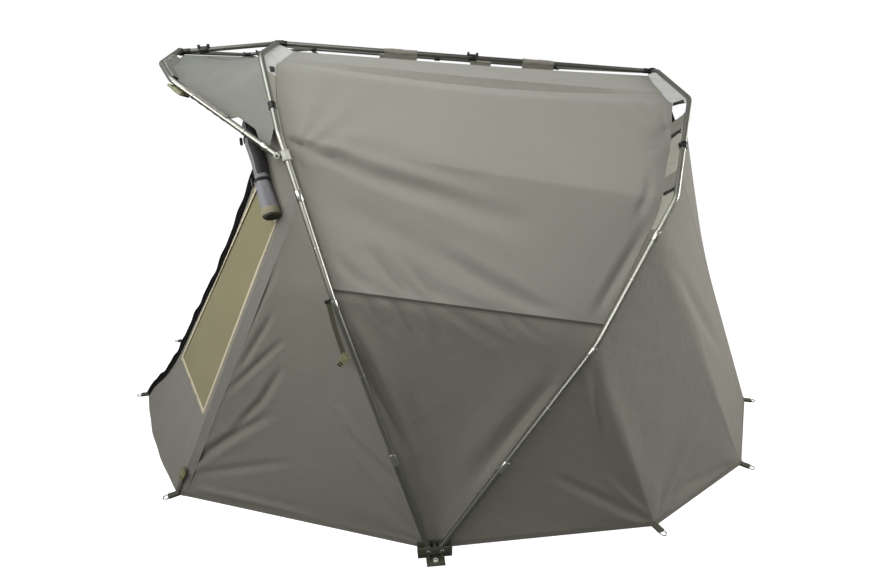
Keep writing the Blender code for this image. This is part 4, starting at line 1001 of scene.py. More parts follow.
REAR_FOLDS = (
    (((0.33, -1.358, 0.66), (0.373, -1.348, 0.50), (0.42, -1.34, 0.36)), 0.0060, 0.022),
    (((0.593, -1.225, 0.936), (0.844, -1.07, 0.644), (1.03, -0.93, 0.44)), 0.0080, 0.030),
    (((0.25, -1.34, 0.25), (0.435, -1.339, 0.132), (0.62, -1.335, 0.02)), 0.0070, 0.024),
    (((0.42, -1.338, 0.23), (0.62, -1.337, 0.02)), -0.0050, 0.020),
    (((0.34, -1.35, 0.62), (0.61, -1.335, 0.08)), -0.0070, 0.060),
    (((0.62, -1.32, 0.09), (1.09, -1.07, 0.03)), 0.0030, 0.025),
)
REAR_FANS = (
    ((0.63, -1.335, 0.0), (-0.9, 0, 0.3), (0, 0, 1), 10, 0.0030, 0.40, 1.1),
    ((1.12, -1.06, 0.0), (-0.7, -0.4, 0.5), (0, 0, 1), 9, 0.0026, 0.40, 0.2),
)
BACK_FANS = (((1.41, -0.63, 0.0), (-0.2, 0.9, 0.2), (-0.4, 0, 1), 10, 0.0035, 0.5, 0.4),)
def roof_push(points):
    """Folds of the roof: a long one from the front rib, puckers above the seam and pulls at the rear."""
    total = ripples(points, 11, 0.0022, (1, 0.4, 1), 2.5, 9)
    for side in (NEAR, FAR):
        local = mirror_for(side, points)
        here = 1 / (1 + np.exp((local[..., 1] + 0.45) / 0.10))
        total = total + folded(local, ROOF_FOLDS, ROOF_FANS) * here
    return total


def wall_push(side, seed, depth, stretch, low, high, folds, fans=()):
    """The pushes of a wall on one side: gentle unevenness, its folds and its fans."""
    def push(points):
        local = mirror_for(side, points)
        return ripples(local, seed + side, depth, stretch, low, high) + folded(local, folds, fans)
    return push


def hood_push(points):
    """Soft unevenness of the hood."""
    return ripples(points, 51, 0.0020, (1, 0.5, 1), 3, 9)


def back_push(points):
    """Soft folds of the rear wall, with rays from its pegged corners."""
    total = ripples(points, 61, 0.0030, (1, 1, 1), 2.5, 8)
    for side in (NEAR, FAR):
        total = total + folded(mirror_for(side, points), (), BACK_FANS)
    return total


# Cloth of the shell
def make_roof_cloth():
    """The roof in two halves that meet between the ribs, and both tubes' lines."""
    front, rear, front_tube, rear_tube = matched(
        [arch_line(rib, SEAM_UP[rib], 3, inset, turn_steps=6)
         for inset in (FABRIC_INSET, TUBE_RADIUS * 0.4) for rib in (FRONT, REAR)],
        count(320),
    )

    def sag(up):
        side = np.where(np.abs(up - 0.5) > 0.25, np.abs(np.sin(2 * math.pi * up)), 0)
        return 0.030 * np.maximum(side, 0.2 * np.sin(math.pi * up))

    made = {"front_tube": front_tube, "rear_tube": rear_tube}
    gaps = stand_off(front, FRONT), stand_off(rear, REAR)
    for (word, rib), keep in zip(RIBS, ((0, 0.5), (0.5, 1))):
        cloth = Cloth("roof_" + word, (front, rear), count(168), "roof_fabric", sag, roof_push, keep, 0.035,
                      scallop=gaps)
        hang(cloth.item, rib, ROOF_REACH, "canopy")
        made[word] = cloth
    return made


def height_up(rib, points):
    """Height up a rib's plane of points on it."""
    return (points[:, 2] - PIN_UP) / math.cos(LEAN[rib])


def stand_off(line, rib):
    """How far the roof's edge stands off a rib's plane at each row."""
    up, half = height_up(rib, line), np.abs(line[:, 1])
    if rib == REAR:
        heights = (0.90, 1.00, 1.22, 1.30, 1.457, 1.53, 1.58)
        side = np.interp(up, heights, (0, 0.002, 0.012, 0.029, 0.026, 0.036, 0.040))
        top = np.interp(half, (0.42, 0.60, 0.72, 0.93), (0.002, 0.018, 0.034, 0.046))
    else:
        side = np.interp(up, (0.93, 1.20, 1.30, 1.42, 1.53), (0, 0.003, 0.006, 0.010, 0.034))
        top = np.interp(half, (0.50, 0.60, 0.72, 0.99), (0.002, 0.050, 0.048, 0.034))
    return np.where(half < 0.95, top, side)


def make_side_cloth(name, side):
    """A lower side panel in two halves, from the hub up to the seam."""
    lines = matched(
        [side_line(rib, side, hem_up(rib), SEAM_UP[rib] - EDGE_TRIM * 2, 5, turn_steps=4)
         for rib in (FRONT, REAR)],
        count(170),
    )
    push = wall_push(side, 21, 0.0016, (1, 0.3, 1), 3, 10, SIDE_FOLDS)
    made = []
    for (word, rib), keep in zip(RIBS, ((0, 0.5), (0.5, 1))):
        cloth = Cloth("lower_side_" + word + "_" + name, lines, count(150), "wall_fabric", 0.030, push, keep)
        hang(cloth.item, rib, SIDE_REACH, "lower_side_" + name)
        made.append(cloth)
    return made


def front_lines(side, rows):
    """The lines of one half of the front: the rib, the corner seam and the zip line."""
    rib = side_line(FRONT, side, hem_up(FRONT), FOLD_TOP_UP - JOIN_GAP, 6, turn_steps=4)
    rib = resample(rib, rows)
    rib[0] = rib[0] - np.array((JOIN_GAP / 8, 0, 0))
    return rib, fold_line(side, rows), zip_line(side, rows)


def window_outline(side, grow=0.0):
    """The window's corners on the front panel, moved out by a distance."""
    spots = [panel_spot(side, across, up) for across, up in WINDOW_SHARES]
    middle = sum(spots) / 4
    return [spot + (spot - middle) / np.linalg.norm(spot - middle) * grow for spot in spots]


def make_front_cloth(name, side):
    """Half of the front: the side piece, which it hands back, and the flat piece round the window."""
    rib, seam, opening = front_lines(side, count(200))
    push = wall_push(side, 31, 0.0016, (1, 1, 1), 3, 10, FRONT_FOLDS, FRONT_FANS)
    cloth = Cloth("front_side_" + name, (rib, seam), count(130), "wall_fabric", 0.022, push,
                  trim=(EDGE_TRIM, 0.0))
    flat = window_frame_cloth(name, side, seam, opening)
    for item in (cloth.item, flat):
        hang(item, FRONT, FRONT_REACH, "front_panel_" + name)
    return cloth


def window_frame_cloth(name, side, seam, opening):
    """The flat piece of the front panel as four strips round the window."""
    outward = panel_outward(side)
    spots = window_outline(side)
    corners = [seam[0], opening[0], opening[-1], seam[-1]]
    level = np.array((outward[0], outward[1], 0)) / math.hypot(outward[0], outward[1])
    steps, deep = count(70), count(16)
    run = np.linspace(0, 1, steps + 1)
    bend = np.sin(np.pi * run)
    share = np.linspace(0, 1, deep + 1)[None, :, None]
    hold = np.minimum(1, np.minimum(share, 1 - share)[..., 0] * 6)
    pieces = []
    for index in range(4):
        after = (index + 1) % 4
        outer = opening_line(side, steps) if index == 1 else straight(corners[index], corners[after], steps)
        if index == 0:
            outer = outer + HEM_BOW * bend[:, None] * level
        inner = straight(spots[index], spots[after], steps)
        grid = outer[:, None] * (1 - share) + inner[:, None] * share
        wave = ripples(mirror_for(side, grid), 71, 0.0012, (1, 1, 1), 4, 12)
        if index == 0:
            grid = grid + outward * (0.0016 * bend * np.cos(7 * np.pi * run))[:, None, None]
        grid = grid + outward * (wave * hold)[..., None]
        normal = np.broadcast_to(outward, grid.shape)
        pieces.append(sheet_object("front_strip", grid, normal, "wall_fabric", sizes().cloth))
    made = joined("front_window_panel_" + name, pieces)
    return made


def sideways(outward, along, way):
    """The direction in the panel's plane at right angles to a line, on the side of a way."""
    inward = np.cross(outward, along)
    inward /= np.linalg.norm(inward)
    return inward if inward @ way >= 0 else -inward


def make_window(name, side):
    """The mesh window, its binding and its stitches."""
    outward = panel_outward(side)
    spots = window_outline(side, -0.0006)
    rows, columns = count(120), count(40)
    left, right = straight(spots[0], spots[3], rows), straight(spots[1], spots[2], rows)
    share = np.linspace(0, 1, columns + 1)[None, :, None]
    grid = left[:, None] * (1 - share) + right[:, None] * share
    up = np.linspace(0, 1, rows + 1)[:, None]
    hold = np.sin(np.pi * share[..., 0]) * np.sin(np.pi * up)
    grid = grid + outward * ((0.0018 * np.sin(5 * np.pi * up + 2 * share[..., 0]) - 0.003) * hold)[..., None]
    normal = np.broadcast_to(outward, grid.shape)
    pane = sheet_object("mesh_window_look_" + name, grid, normal, "mesh", 0.0010)
    hang(pane, FRONT, FRONT_REACH, "mesh_window_" + name)
    outline = window_outline(side, 0.007)
    middle = sum(outline) / 4
    strips, lines = [], []
    for start, end in zip(outline, outline[1:] + outline[:1]):
        inward = sideways(outward, end - start, middle - start)
        line = straight(start, end, count(60)) + outward * (sizes().cloth + 0.0003)
        band = np.stack([line, line + inward * BINDING_WIDTH], axis=1)
        strips.append(sheet_object("bind", band, np.broadcast_to(outward, band.shape), "binding", 0.0010))
        lines.append(straight(start, end, 20) + outward * (sizes().cloth + 0.0016) + inward * 0.004)
    hang(joined("window_binding_" + name, strips), FRONT, FRONT_REACH)
    stitches("window_stitches_" + name, lines, outward, front_blend)


def make_rear_cloth(name, side):
    """A rear side, from the rear rib down to the hem."""
    profile = inset_profile(REAR, FABRIC_INSET)
    points = [profile_at(profile, up) for up in (hem_up(REAR), 0.830, REAR_QUARTER_UP, REAR_CORNER_UP)]
    rib = [rib_world(REAR, side, point.x, point.y) for point in points]
    hub = rib[0] + Vector((JOIN_GAP / 8, 0, 0))
    ground = [hub] + [peg(word, side) for word in ("side", "quarter", "rear")]
    rib_line = rounded(rib, (0, 0.26, 0.26, 0), 3, 6)
    ground_line = rounded(ground, (0, 0, 0, 0), 3, 6)
    ground_line[0] = hub + Vector((JOIN_GAP / 2, 0, 0))
    push = wall_push(side, 41, 0.0022, (1, 1, 1), 2.5, 8, REAR_FOLDS, REAR_FANS)
    cloth = Cloth("rear_side_look_" + name, matched((rib_line, ground_line), count(230)), count(150),
                  "wall_fabric", 0.0167, push)
    hang(cloth.item, REAR, REAR_REACH, "rear_side_" + name)
    return cloth


def make_back_cloth():
    """The rear middle wall, which hangs from the rear rib's top to the hem."""
    arch = resample(arch_line(REAR, REAR_CORNER_UP + EDGE_TRIM, 3, turn_steps=6), count(180))
    low = peg("rear", NEAR) + Vector((0, EDGE_TRIM * 2, 0))
    ground = straight(low, (low.x, -low.y, low.z), count(180))
    up, half = height_up(REAR, arch), np.abs(arch[:, 1])
    bay = 0.115 * np.exp(-((half - 0.865) / 0.075) ** 2) * (up > 1.45)
    cloth = Cloth("rear_wall", (arch, ground), count(130), "wall_fabric", 0.050, back_push,
                  scallop=(bay, 0.0))
    hang(cloth.item, REAR, REAR_REACH, "rear_middle")
    return cloth


def make_hood_cloth():
    """The hood between the front rib and the hood rib."""
    front = resample(arch_line(FRONT, HOOD_EDGE_UP, 3, FABRIC_INSET + 0.0024, turn_steps=6), count(220))
    hood = resample(peak_arch(FABRIC_INSET, 0.028, 3, 6), count(220))
    front = front + np.array((-EDGE_TRIM, 0, 0))
    start, elbow = (arr(peak_world(*spot)) for spot in ((bracket_half(), 0), PEAK_CORNERS[0]))
    along = elbow - start
    share = (hood * (1, 0, 1) + (0, 1, 0) * np.abs(hood) - start) @ along / (along @ along)
    bay = 0.019 * np.clip(np.minimum((share - 0.21) / 0.06, (0.475 - share) / 0.02), 0, 1)
    cloth = Cloth("hood_cloth", (front, hood), count(70), "hood_fabric", 0.030, hood_push,
                  scallop=(0.0, bay))
    hood_blend(cloth.item)
    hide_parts("peak_canopy")
    return cloth


# Seams and hems
def front_blend(item):
    """Bake a front cloth piece's placement into its mesh."""
    return plane_blend(item, FRONT, FRONT_REACH)


def rear_blend(item):
    """Bake a rear cloth piece's placement into its mesh."""
    return plane_blend(item, REAR, REAR_REACH)


def across_line(points, normals, way=None):
    """Unit steps sideways from a line on its cloth, towards a direction where one is given."""
    across = np.cross(normals, np.gradient(points, axis=0))
    across /= np.maximum(np.linalg.norm(across, axis=1, keepdims=True), 1e-9)
    if way is not None and across[len(across) // 2] @ arr(way) < 0:
        across = -across
    return across


def seam_band(name, points, normals, width, finish, blend_with, way=None, lift=0.0004):
    """A narrow tape along a line on the cloth."""
    across = across_line(points, normals, way)
    band = np.stack([points, points + across * width], axis=1) + normals[:, None] * lift
    item = sheet_object(name, band, np.repeat(normals[:, None], 2, axis=1), finish, 0.0007)
    blend_with(item)
    return item


def offset_line(points, normals, distance, way):
    """A line moved sideways on its cloth towards a direction."""
    return points + across_line(points, normals, way) * distance + normals * 0.0004


def make_seams(sides):
    """The side seams under the roof, with their tapes and stitches."""
    down = (0, 0, -1)
    for name, side in SIDES:
        for (word, rib), cloth in zip(RIBS, sides[name]):
            place = word + "_" + name
            follow = lambda item, rib=rib: plane_blend(item, rib, SIDE_REACH)
            points, normals = cloth.outer[-1], cloth.normal[-1]
            raised = points + np.array((0, 0, 0.0022))
            seam_band("seam_tape_" + place, raised, normals, SEAM_WIDTH, "seam_dark", follow, down, 0.0016)
            lines = [offset_line(points, normals, gap, down) for gap in (0.0055, 0.0095)]
            stitches("seam_stitches_" + place, lines, (0, side, 0), follow)


def hem(name, points, normals, up, blend_with):
    """A folded hem along a ground edge, with a row of stitches."""
    seam_band("hem_" + name, points, normals, HEM_WIDTH, "seam_tape", blend_with, (0, 0, 1))
    line = offset_line(points, normals, HEM_STITCH_IN, (0, 0, 1))
    stitches("hem_stitches_" + name, [line], up, blend_with)


def make_hems(fronts, rears, back):
    """Hems along the ground edge of every wall, and a tape along each front corner seam."""
    for name, side in SIDES:
        front, rear = fronts[name], rears[name]
        up = (0, side, 0.2)
        hem("front_" + name, front.outer[0], front.normal[0], up, front_blend)
        hem("rear_" + name, rear.outer[4:, -1], rear.normal[4:, -1], up, rear_blend)
        points, normals = front.outer[:, -1], front.normal[:, -1]
        ahead = (1, 0, 0)
        tape = "corner_tape_" + name
        seam_band(tape, points, normals, CORNER_WIDTH, "fold_band", front_blend, ahead, 0.0002)
        lines = [offset_line(points, normals, gap, ahead) for gap in (0.0020, 0.0275)]
        stitches("corner_stitches_" + name, lines, up, front_blend)
    hem("back", back.outer[:, -1], back.normal[:, -1], (1, 0, 0.2), rear_blend)


# Frame


def arch_points(rib):
    """A rib's centre line from one leg joint over to the other."""
    corners = [Vector(corner) for corner in CORNERS[rib]]
    above = [(p, r) for p, r in zip(corners, CORNER_RADII) if p.y > LEG_LENGTH]
    half = [profile_at(corners, LEG_LENGTH)] + [p for p, _ in above]
    radii = [0] + [r for _, r in above]
    flat = rounded(mirrored(half), radii + radii[::-1], 1, 14)
    return [rib_world(rib, NEAR, p.x, p.y) for p in flat]


def on_rib(rib, side, up):
    """A point of a rib's centre line at a height, and its direction upward."""
    flat = rounded([(*p, 0) for p in CORNERS[rib]], CORNER_RADII, 4, 12)
    profile = [Vector((p.x, p.y)) for p in flat]
    low, high = profile_at(profile, up), profile_at(profile, up + 0.004)
    start, end = rib_world(rib, side, low.x, low.y), rib_world(rib, side, high.x, high.y)
    return start, (end - start).normalized()


def sleeve_on(spot, along, length, radius, lip=0.0):
    """A ferrule round a rib, with a rolled lip at its top where asked."""
    reach = along * length
    pieces = [rod("ferrule", radius, spot, spot + reach, "ferrule", 32, 0.0009)]
    if lip:
        pieces.append(ring("ferrule_lip", spot + reach, along, radius, lip, "ferrule"))
    return joined("ferrule", pieces)


def make_rib_frame(word, rib):
    """One rib: its arch, lower legs, ferrules, joints and transport clips."""
    body = word + "_rib"
    arch = tube(body + "_tube", arch_points(rib), TUBE_RADIUS, "aluminium", 7)
    belong(arch, body, body + "_arch")
    for name, side in SIDES:
        base = Vector((HUB_X + rib * PIN_HALF_GAP, side * HUB_HALF_SPAN, PIN_UP))
        half_eye = Vector((0, 0.0099, 0))
        top, along = on_rib(rib, side, LEG_LENGTH)
        leg = joined(body + "_lower_" + name, [
            rod("leg", LEG_RADIUS, base, top, "leg_tube", 36),
            rod("eye", 0.0115, base - half_eye, base + half_eye, "leg_tube", 40, 0.0012),
        ])
        belong(leg, body, body + "_leg_" + name)
        bend = CORNERS[rib][1][1]
        below, lean = on_rib(rib, side, bend - 0.030)[0], on_rib(rib, side, bend - 0.020)[1]
        fittings = [
            sleeve_on(top - along * 0.004, along, 0.042, 0.0108, 0.0011),
            sleeve_on(below, lean, 0.030, FERRULE_RADIUS, 0.0009),
            sleeve_on(*on_rib(rib, side, 1.165), 0.030, FERRULE_RADIUS, 0.0009),
        ]
        for up in (0.66, 1.04) if rib == FRONT else (0.60, 1.04):
            fittings.append(sleeve_on(*on_rib(rib, side, up), 0.004, 0.0089))
        belong(joined(body + "_ferrules_" + name, fittings), body)
        spot, along = on_rib(rib, side, CLIP_UP[rib] - 0.022)
        wide = 0.0098 if rib == FRONT else 0.0108
        clip = [rod("clip", wide, spot, spot + along * 0.022, "black_plastic", 32, 0.0012)]
        for up in (0.003, 0.019):
            clip.append(ring("clip_rim", spot + along * up, along, wide, 0.0010, "black_plastic"))
        if rib == REAR:
            outward = Vector((0, side, 0)).cross(along).normalized()
            place = basis(outward, along, spot + along * 0.007 + outward * 0.0125)
            clip.append(block("clip_lug", (0.010, 0.008, 0.010), place, "black_plastic", 0.0012))
        belong(joined(body + "_clip_" + name, clip), body)


def make_brackets():
    """Pale brackets that carry the hood rib: a collar on the front rib, an arm and a pin."""
    axis_x, axis_z = bracket_axis()
    half = bracket_half()
    for name, side in SIDES:
        low, along = on_rib(FRONT, side, BRACKET_UP - 0.014)
        inner = side * (half - 0.0093)
        centre = on_rib(FRONT, side, BRACKET_UP)[0]

        def on_axis(word, radius, start, end, finish, sides, bevel=0.0):
            return rod(word, radius, (axis_x, start, axis_z), (axis_x, end, axis_z), finish, sides, bevel)

        arm = basis((1, 0, 0), (0, 0, 1), (centre.x - 0.011, inner, axis_z))
        items = [
            rod("collar", 0.0118, low, low + along * 0.028, "pale_plastic", 40, 0.0016),
            ring("rim", low + along * 0.002, along, 0.0116, 0.0013, "pale_plastic"),
            ring("rim", low + along * 0.026, along, 0.0116, 0.0013, "pale_plastic"),
            block("arm", (0.024, 0.0080, 0.017), arm, "pale_plastic", 0.002),
            on_axis("boss", 0.0088, inner - side * 0.004, inner + side * 0.004, "pale_plastic", 36, 0.001),
            on_axis("pin", 0.0040, inner, side * (half + 0.0055), "steel", 24),
            on_axis("cap", 0.0090, side * (half + 0.0054), side * (half + 0.0100), "pale_plastic", 36, 0.002),
        ]
        belong(joined("hood_bracket_" + name, items), "front_rib", "peak_bracket_" + name)
        screw = on_axis("screw", 0.0035, side * (half + 0.0098), side * (half + 0.0112), "steel", 6)
        belong(joined("bracket_screw_" + name, [screw]), "front_rib")


def make_hood_rib():
    """The hood rib with its end eyes and ferrules."""
    pieces = [tube("hood_tube", peak_arch(0, 0.006, 1, 14), TUBE_RADIUS, "aluminium", 7)]
    half_eye = Vector((0, 0.0048, 0))
    for _, side in SIDES:
        centre = peak_world(side * bracket_half(), 0)
        pieces.append(rod("eye", 0.0095, centre - half_eye, centre + half_eye, "aluminium", 40, 0.001))
    belong(joined("hood_rib_tube", pieces), "peak_rib", "peak_rib")
    for name, side in SIDES:
        start, elbow, along = hood_leg(side)
        fittings = []
        for share, length in ((0.08, 0.022), (0.30, 0.005), (0.78, 0.005)):
            spot = start.lerp(elbow, share)
            fittings.append(rod("ferrule", 0.0095, spot, spot + along * length, "ferrule", 32, 0.0008))
        belong(joined("hood_ferrules_" + name, fittings), "peak_rib")


def bar_line(hinge, far_end, half):
    """A bar's two ends, its direction, and the centre of the tube on which its far end rests."""
    hinge, far_end = Vector((hinge.x, half, hinge.z)), Vector((far_end.x, half, far_end.z))
    flat = far_end - hinge
    turn = math.asin(BAR_SEAT / flat.length)
    along = (Matrix.Rotation(turn if flat.x < 0 else -turn, 3, "Y") @ flat).normalized()
    reach = math.sqrt(flat.length ** 2 - BAR_SEAT ** 2)
    return hinge, hinge + along * (reach - TUBE_RADIUS - 0.0012), along, far_end


def make_bar(name, word, hinge, far_end, half, hook_side):
    """A roof bar with its ring, end cap and hook."""
    start, end, along, far_end = bar_line(hinge, far_end, half)
    over = Vector((0, 1, 0))
    top = along.cross(over) if along.cross(over).z > 0 else -along.cross(over)
    items = [
        rod("bar", BAR_RADIUS, start, end, "bar_tube", 36, 0.001),
        rod("ring", 0.0125, start - over * 0.011, start + over * 0.011, "black_plastic", 44, 0.0012),
        rod("cap", 0.0088, end - along * 0.020, end + along * 0.0015, "black_plastic", 36, 0.0015),
        rod("saddle", 0.0092, start + along * 0.010, start + along * 0.034, "black_plastic", 36, 0.0012),
    ]
    for size, ahead, up in (
        ((0.026, 0.0130, 0.0034), -0.0050, 0.0022), ((0.0036, 0.0130, 0.0090), TUBE_RADIUS + 0.0024, -0.0008),
    ):
        place = Matrix.Translation((far_end.x + hook_side * ahead, half, far_end.z + TUBE_RADIUS + up))
        items.append(block("hook", size, place, "black_plastic", 0.0012))
    belong(joined(word + "_tube_" + name, items), word + "_" + name, word + "_" + name)
    return start, end, along, top


def make_bar_clip(name, body, start, end, along, top, share, replaced):
    """A black clip on a bar with two ears."""
    centre = start.lerp(end, share)
    reach = along * 0.015
    items = [rod("clip", 0.0118, centre - reach, centre + reach, "black_plastic", 36, 0.0014)]
    for way in (-1, 1):
        items.append(ring("rib", centre + along * way * 0.0125, along, 0.0116, 0.0012, "black_plastic"))
        lean = (top + along * way * 0.22).normalized()
        place = basis(along, lean, centre + along * way * 0.0138 + lean * 0.0105)
        items.append(block("ear", (0.0066, 0.0185, 0.0150), place, "black_plastic", 0.0016))
    belong(joined(name, items), body, replaced)


def make_bar_sleeve(name, body, start, end, along, top, share, replaced):
    """A cloth sleeve wrapped round a bar, whose two layers meet below it."""
    centre = start.lerp(end, share)
    across = along.cross(top).normalized()
    turns = np.linspace(math.radians(-52), math.radians(232), 26)
    section = [(0.0100 * math.cos(turn), 0.0100 * math.sin(turn)) for turn in turns]
    tail = [(-0.0040, -0.0135), (-0.0022, -0.0190), (-0.0020, -0.0275)]
    outline = section + tail + [(-x, y) for x, y in tail[::-1]]
    wave = np.random.default_rng(int(abs(share) * 1000) + len(name)).uniform(0, 6.28, 3)
    shape = bmesh.new()
    rows = []
    for at in np.linspace(0, 1, count(36) + 1):
        where = centre + along * (at - 0.5) * 0.115
        row = []
        for x, y in outline:
            loose = 1 + 0.05 * math.sin(9 * at + wave[0] + 300 * y) + 0.03 * math.sin(23 * at + wave[1])
            drop = 1 + 0.10 * math.sin(5 * at + wave[2]) if y < -0.012 else 1
            row.append(shape.verts.new(where + across * x * loose + top * y * loose * drop))
        rows.append(row)
    skin(shape, rows)
    belong(solid(name, shape, "wall_fabric", 50), body, replaced)
    places = np.linspace(-0.5, 0.5, 30)
    lines = [
        [centre + along * s * 0.111 + across * way * 0.0034 - top * 0.0168 for s in places] for way in (-1, 1)
    ]
    row = repeated(name + "_stitches", lines, "stitch", "thread", (0, -1, 0), 0.0085, 0.006, 0.0011, 0.0009)
    belong(row, body)


def make_bars():
    """Both ridge bars and both hood bars with their clips and sleeves."""
    front_top, rear_top = (rib_world(rib, NEAR, 0, TOP_UP[rib]) for rib in (FRONT, REAR))
    hood_top = peak_world(0, PEAK_CORNERS[-1][1])
    for name, side in SIDES:
        body = "ridge_bar_" + name
        line = make_bar(name, "ridge_bar", rear_top, front_top, side * RIDGE_BAR_HALF, -1)
        make_bar_clip("ridge_clip_look_" + name, body, *line, 0.505, "ridge_clip_" + name)
        for word, share in (("rear", 0.325), ("front", 0.695)):
            place = word + "_" + name
            make_bar_sleeve("ridge_sleeve_" + place, body, *line, share, "sleeve_" + place)
        line = make_bar(name, "peak_bar", hood_top, front_top, side * PEAK_BAR_HALF, 1)
        make_bar_clip("hood_clip_look_" + name, "peak_bar_" + name, *line, 0.24, "peak_clip_" + name)


# Hubs and pegging tabs
def make_hub(name, side):
    """A ground hub: the slotted block, its foot with a screw, and the plate with both pins."""
    middle = side * HUB_HALF_SPAN

    def at(x, y, z):
        return basis((1, 0, 0), (0, 0, 1), (HUB_X + x, middle + side * y, z))

    def pin(word, radius, x, low, high, finish, sides, bevel=0.0):
        start, end = ((x, middle + side * out, PIN_UP) for out in (low, high))
        return rod(word, radius, start, end, finish, sides, bevel)

    items = [block(word, size, at(*spot), "hub", bevel) for word, size, spot, bevel in (
        ("base", (0.112, 0.034, 0.0155), (0, 0, 0.00775), 0.003),
        ("cheek", (0.112, 0.0065, 0.040), (0, -0.01375, 0.020), 0.0025),
        ("cheek", (0.112, 0.0065, 0.040), (0, 0.01375, 0.020), 0.0025),
        ("web", (0.012, 0.0210, 0.0230), (0, 0, 0.0265), 0.001),
        ("foot", (0.060, 0.053, 0.006), (0, 0.0265, 0.003), 0.002),
        ("gusset", (0.006, 0.016, 0.012), (-0.022, 0.024, 0.010), 0.0012),
        ("gusset", (0.006, 0.016, 0.012), (0.022, 0.024, 0.010), 0.0012),
    )]
    belong(joined("hub_block_" + name, items), "shell", "hub_" + name)
    items = [block("plate", (0.078, 0.003, 0.020), at(0, 0.0188, PIN_UP), "hub", 0.001)]
    for rib in (FRONT, REAR):
        x = HUB_X + rib * PIN_HALF_GAP
        items += [
            pin("stud", 0.0040, x, -0.017, 0.0173, "steel", 24),
            pin("head", 0.0075, x, 0.0188, 0.0235, "steel", 36, 0.0014),
            pin("hex", 0.0036, x, 0.0223, 0.0239, "black_plastic", 6),
        ]
    belong(joined("hub_plate_" + name, items), "shell", "hub_pins_" + name)
    screw_y = middle + side * 0.035
    screw = joined("hub_screw_" + name, [
        rod("washer", 0.0105, (HUB_X, screw_y, 0.0060), (HUB_X, screw_y, 0.0072), "steel", 40, 0.0003),
        rod("screw", 0.0082, (HUB_X, screw_y, 0.0070), (HUB_X, screw_y, 0.0100), "pale_plastic", 40, 0.0012),
        block("slot", (0.012, 0.0016, 0.0006), at(0, 0.035, 0.0101), "black_plastic", 0),
    ])
    belong(screw, "shell")


def peg_way(word, side):
    """The outward direction of a pegging tab."""
    angle = math.radians(PEG_ANGLES[word])
    return Vector((math.cos(angle), math.sin(angle) * -side, 0))


def make_tabs():
    """Webbing tabs at the pegging points, each folded round a steel ring."""
    path = [Vector(spot) for spot in (
        (-0.016, 0.0010), (-0.004, 0.0010), (0.006, 0.0010), (0.018, 0.0012), (0.0260, 0.0018),
        (0.0292, 0.0032), (0.0296, 0.0050), (0.0282, 0.0066), (0.0250, 0.0074), (0.012, 0.0062),
        (-0.002, 0.0070), (-0.016, 0.0100),
    )]
    for name, side in SIDES:
        for word in PEGS:
            way = peg_way(word, side)
            start = peg(word, side) + way * 0.0026
            start.z = GROUND_CLEAR
            up = Vector((0, 0, 1))
            across = up.cross(way)
            shape = bmesh.new()
            rows = []
            for index, spot in enumerate(path):
                turn = (path[min(index + 1, len(path) - 1)] - path[max(index - 1, 0)]).normalized()
                inner = spot - Vector((-turn.y, turn.x)) * 0.0014
                row = []
                for edge, layer in ((-1, spot), (1, spot), (1, inner), (-1, inner)):
                    place = start + way * layer.x + up * max(layer.y, 0.0001) + across * edge * 0.0118
                    row.append(shape.verts.new(place))
                rows.append(row)
            skin(shape, rows)
            tab = solid("peg_tab_look_" + word + "_" + name, shape, "webbing", 60)
            centre, axis = start + way * 0.0365 + up * 0.0038, (way * 0.06 + up).normalized()
            loop = ring("peg_ring_" + word + "_" + name, centre, axis, 0.0108, 0.0020, "steel", 36, 12)
            belong(tab, "shell", "peg_tab_" + word + "_" + name)
            belong(loop, "shell")


# Zips
def make_zip(name, side):
    """The door's zip: a wavy tape, its teeth, and the slider."""
    line = zip_line(side, 1)
    outward = panel_outward(side)
    run = line[1] - line[0]
    along = run / np.linalg.norm(run)
    inward = sideways(outward, along, panel_spot(side, 0, 0) - line[0])
    lift = outward * (sizes().cloth + 0.0006)
    share = np.linspace(0, 1, count(180) + 1)
    low, high = line[0] + run * 0.010, line[0] + run * 0.905
    spine = read_line(0.010 + 0.895 * share, np.linspace(0, 1, 401), opening_line(side, 400))
    wave = 0.0024 * np.sin(share * 53) + 0.0014 * np.sin(share * 87 + 1.0)
    flat = np.stack([
        spine + inward * 0.0205 + lift,
        spine + inward * 0.0110 + lift * 1.4,
        spine + lift * 1.6 - inward * (0.002 + wave)[:, None],
        spine + lift + outward * (0.003 + wave * 0.4)[:, None] - inward * (0.0085 + wave)[:, None],
    ], axis=1)
    normal = grid_normals(flat)
    if normal[len(normal) // 2, 1] @ outward < 0:
        normal = -normal
    tape = sheet_object("zip_tape_" + name, flat, normal, "zip", 0.0012)
    hang(tape, FRONT, FRONT_REACH, "zip_" + name)
    size = sizes().tooth
    edge = spine - inward * (0.0015 + wave)[:, None] + lift * 2.2
    teeth = repeated("zip_teeth_" + name, [edge], "tooth", "zip", outward, size, size * 0.55, 0.0050, 0.0022)
    hang(teeth, FRONT, FRONT_REACH)
    seat = low + lift * 3 + inward * 0.004

    def at(ahead, up):
        return basis(along, outward, seat + along * ahead + outward * up)

    slider = joined("zip_slider_look_" + name, [
        block("slider", (0.024, 0.012, 0.0050), at(0.015, 0.003), "steel", 0.0012),
        block("bridge", (0.010, 0.003, 0.0034), at(0.015, 0.0070), "steel", 0.0006),
        block("pull", (0.026, 0.007, 0.0016), at(0.034, 0.0045), "black_plastic", 0.0006),
    ])
    belong(slider, "zip_slider_" + name, "zip_slider_" + name)


# Rolled door
def roll_path(steps):
    """The centre line of the rolled door, from end to end."""
    near = [arr(p) for p in ROLL_LINE]
    whole = near + [p * (1, -1, 1) for p in near[-2::-1]]
    return resample([p + np.array((HUB_X, 0, 0)) for p in whole], steps)


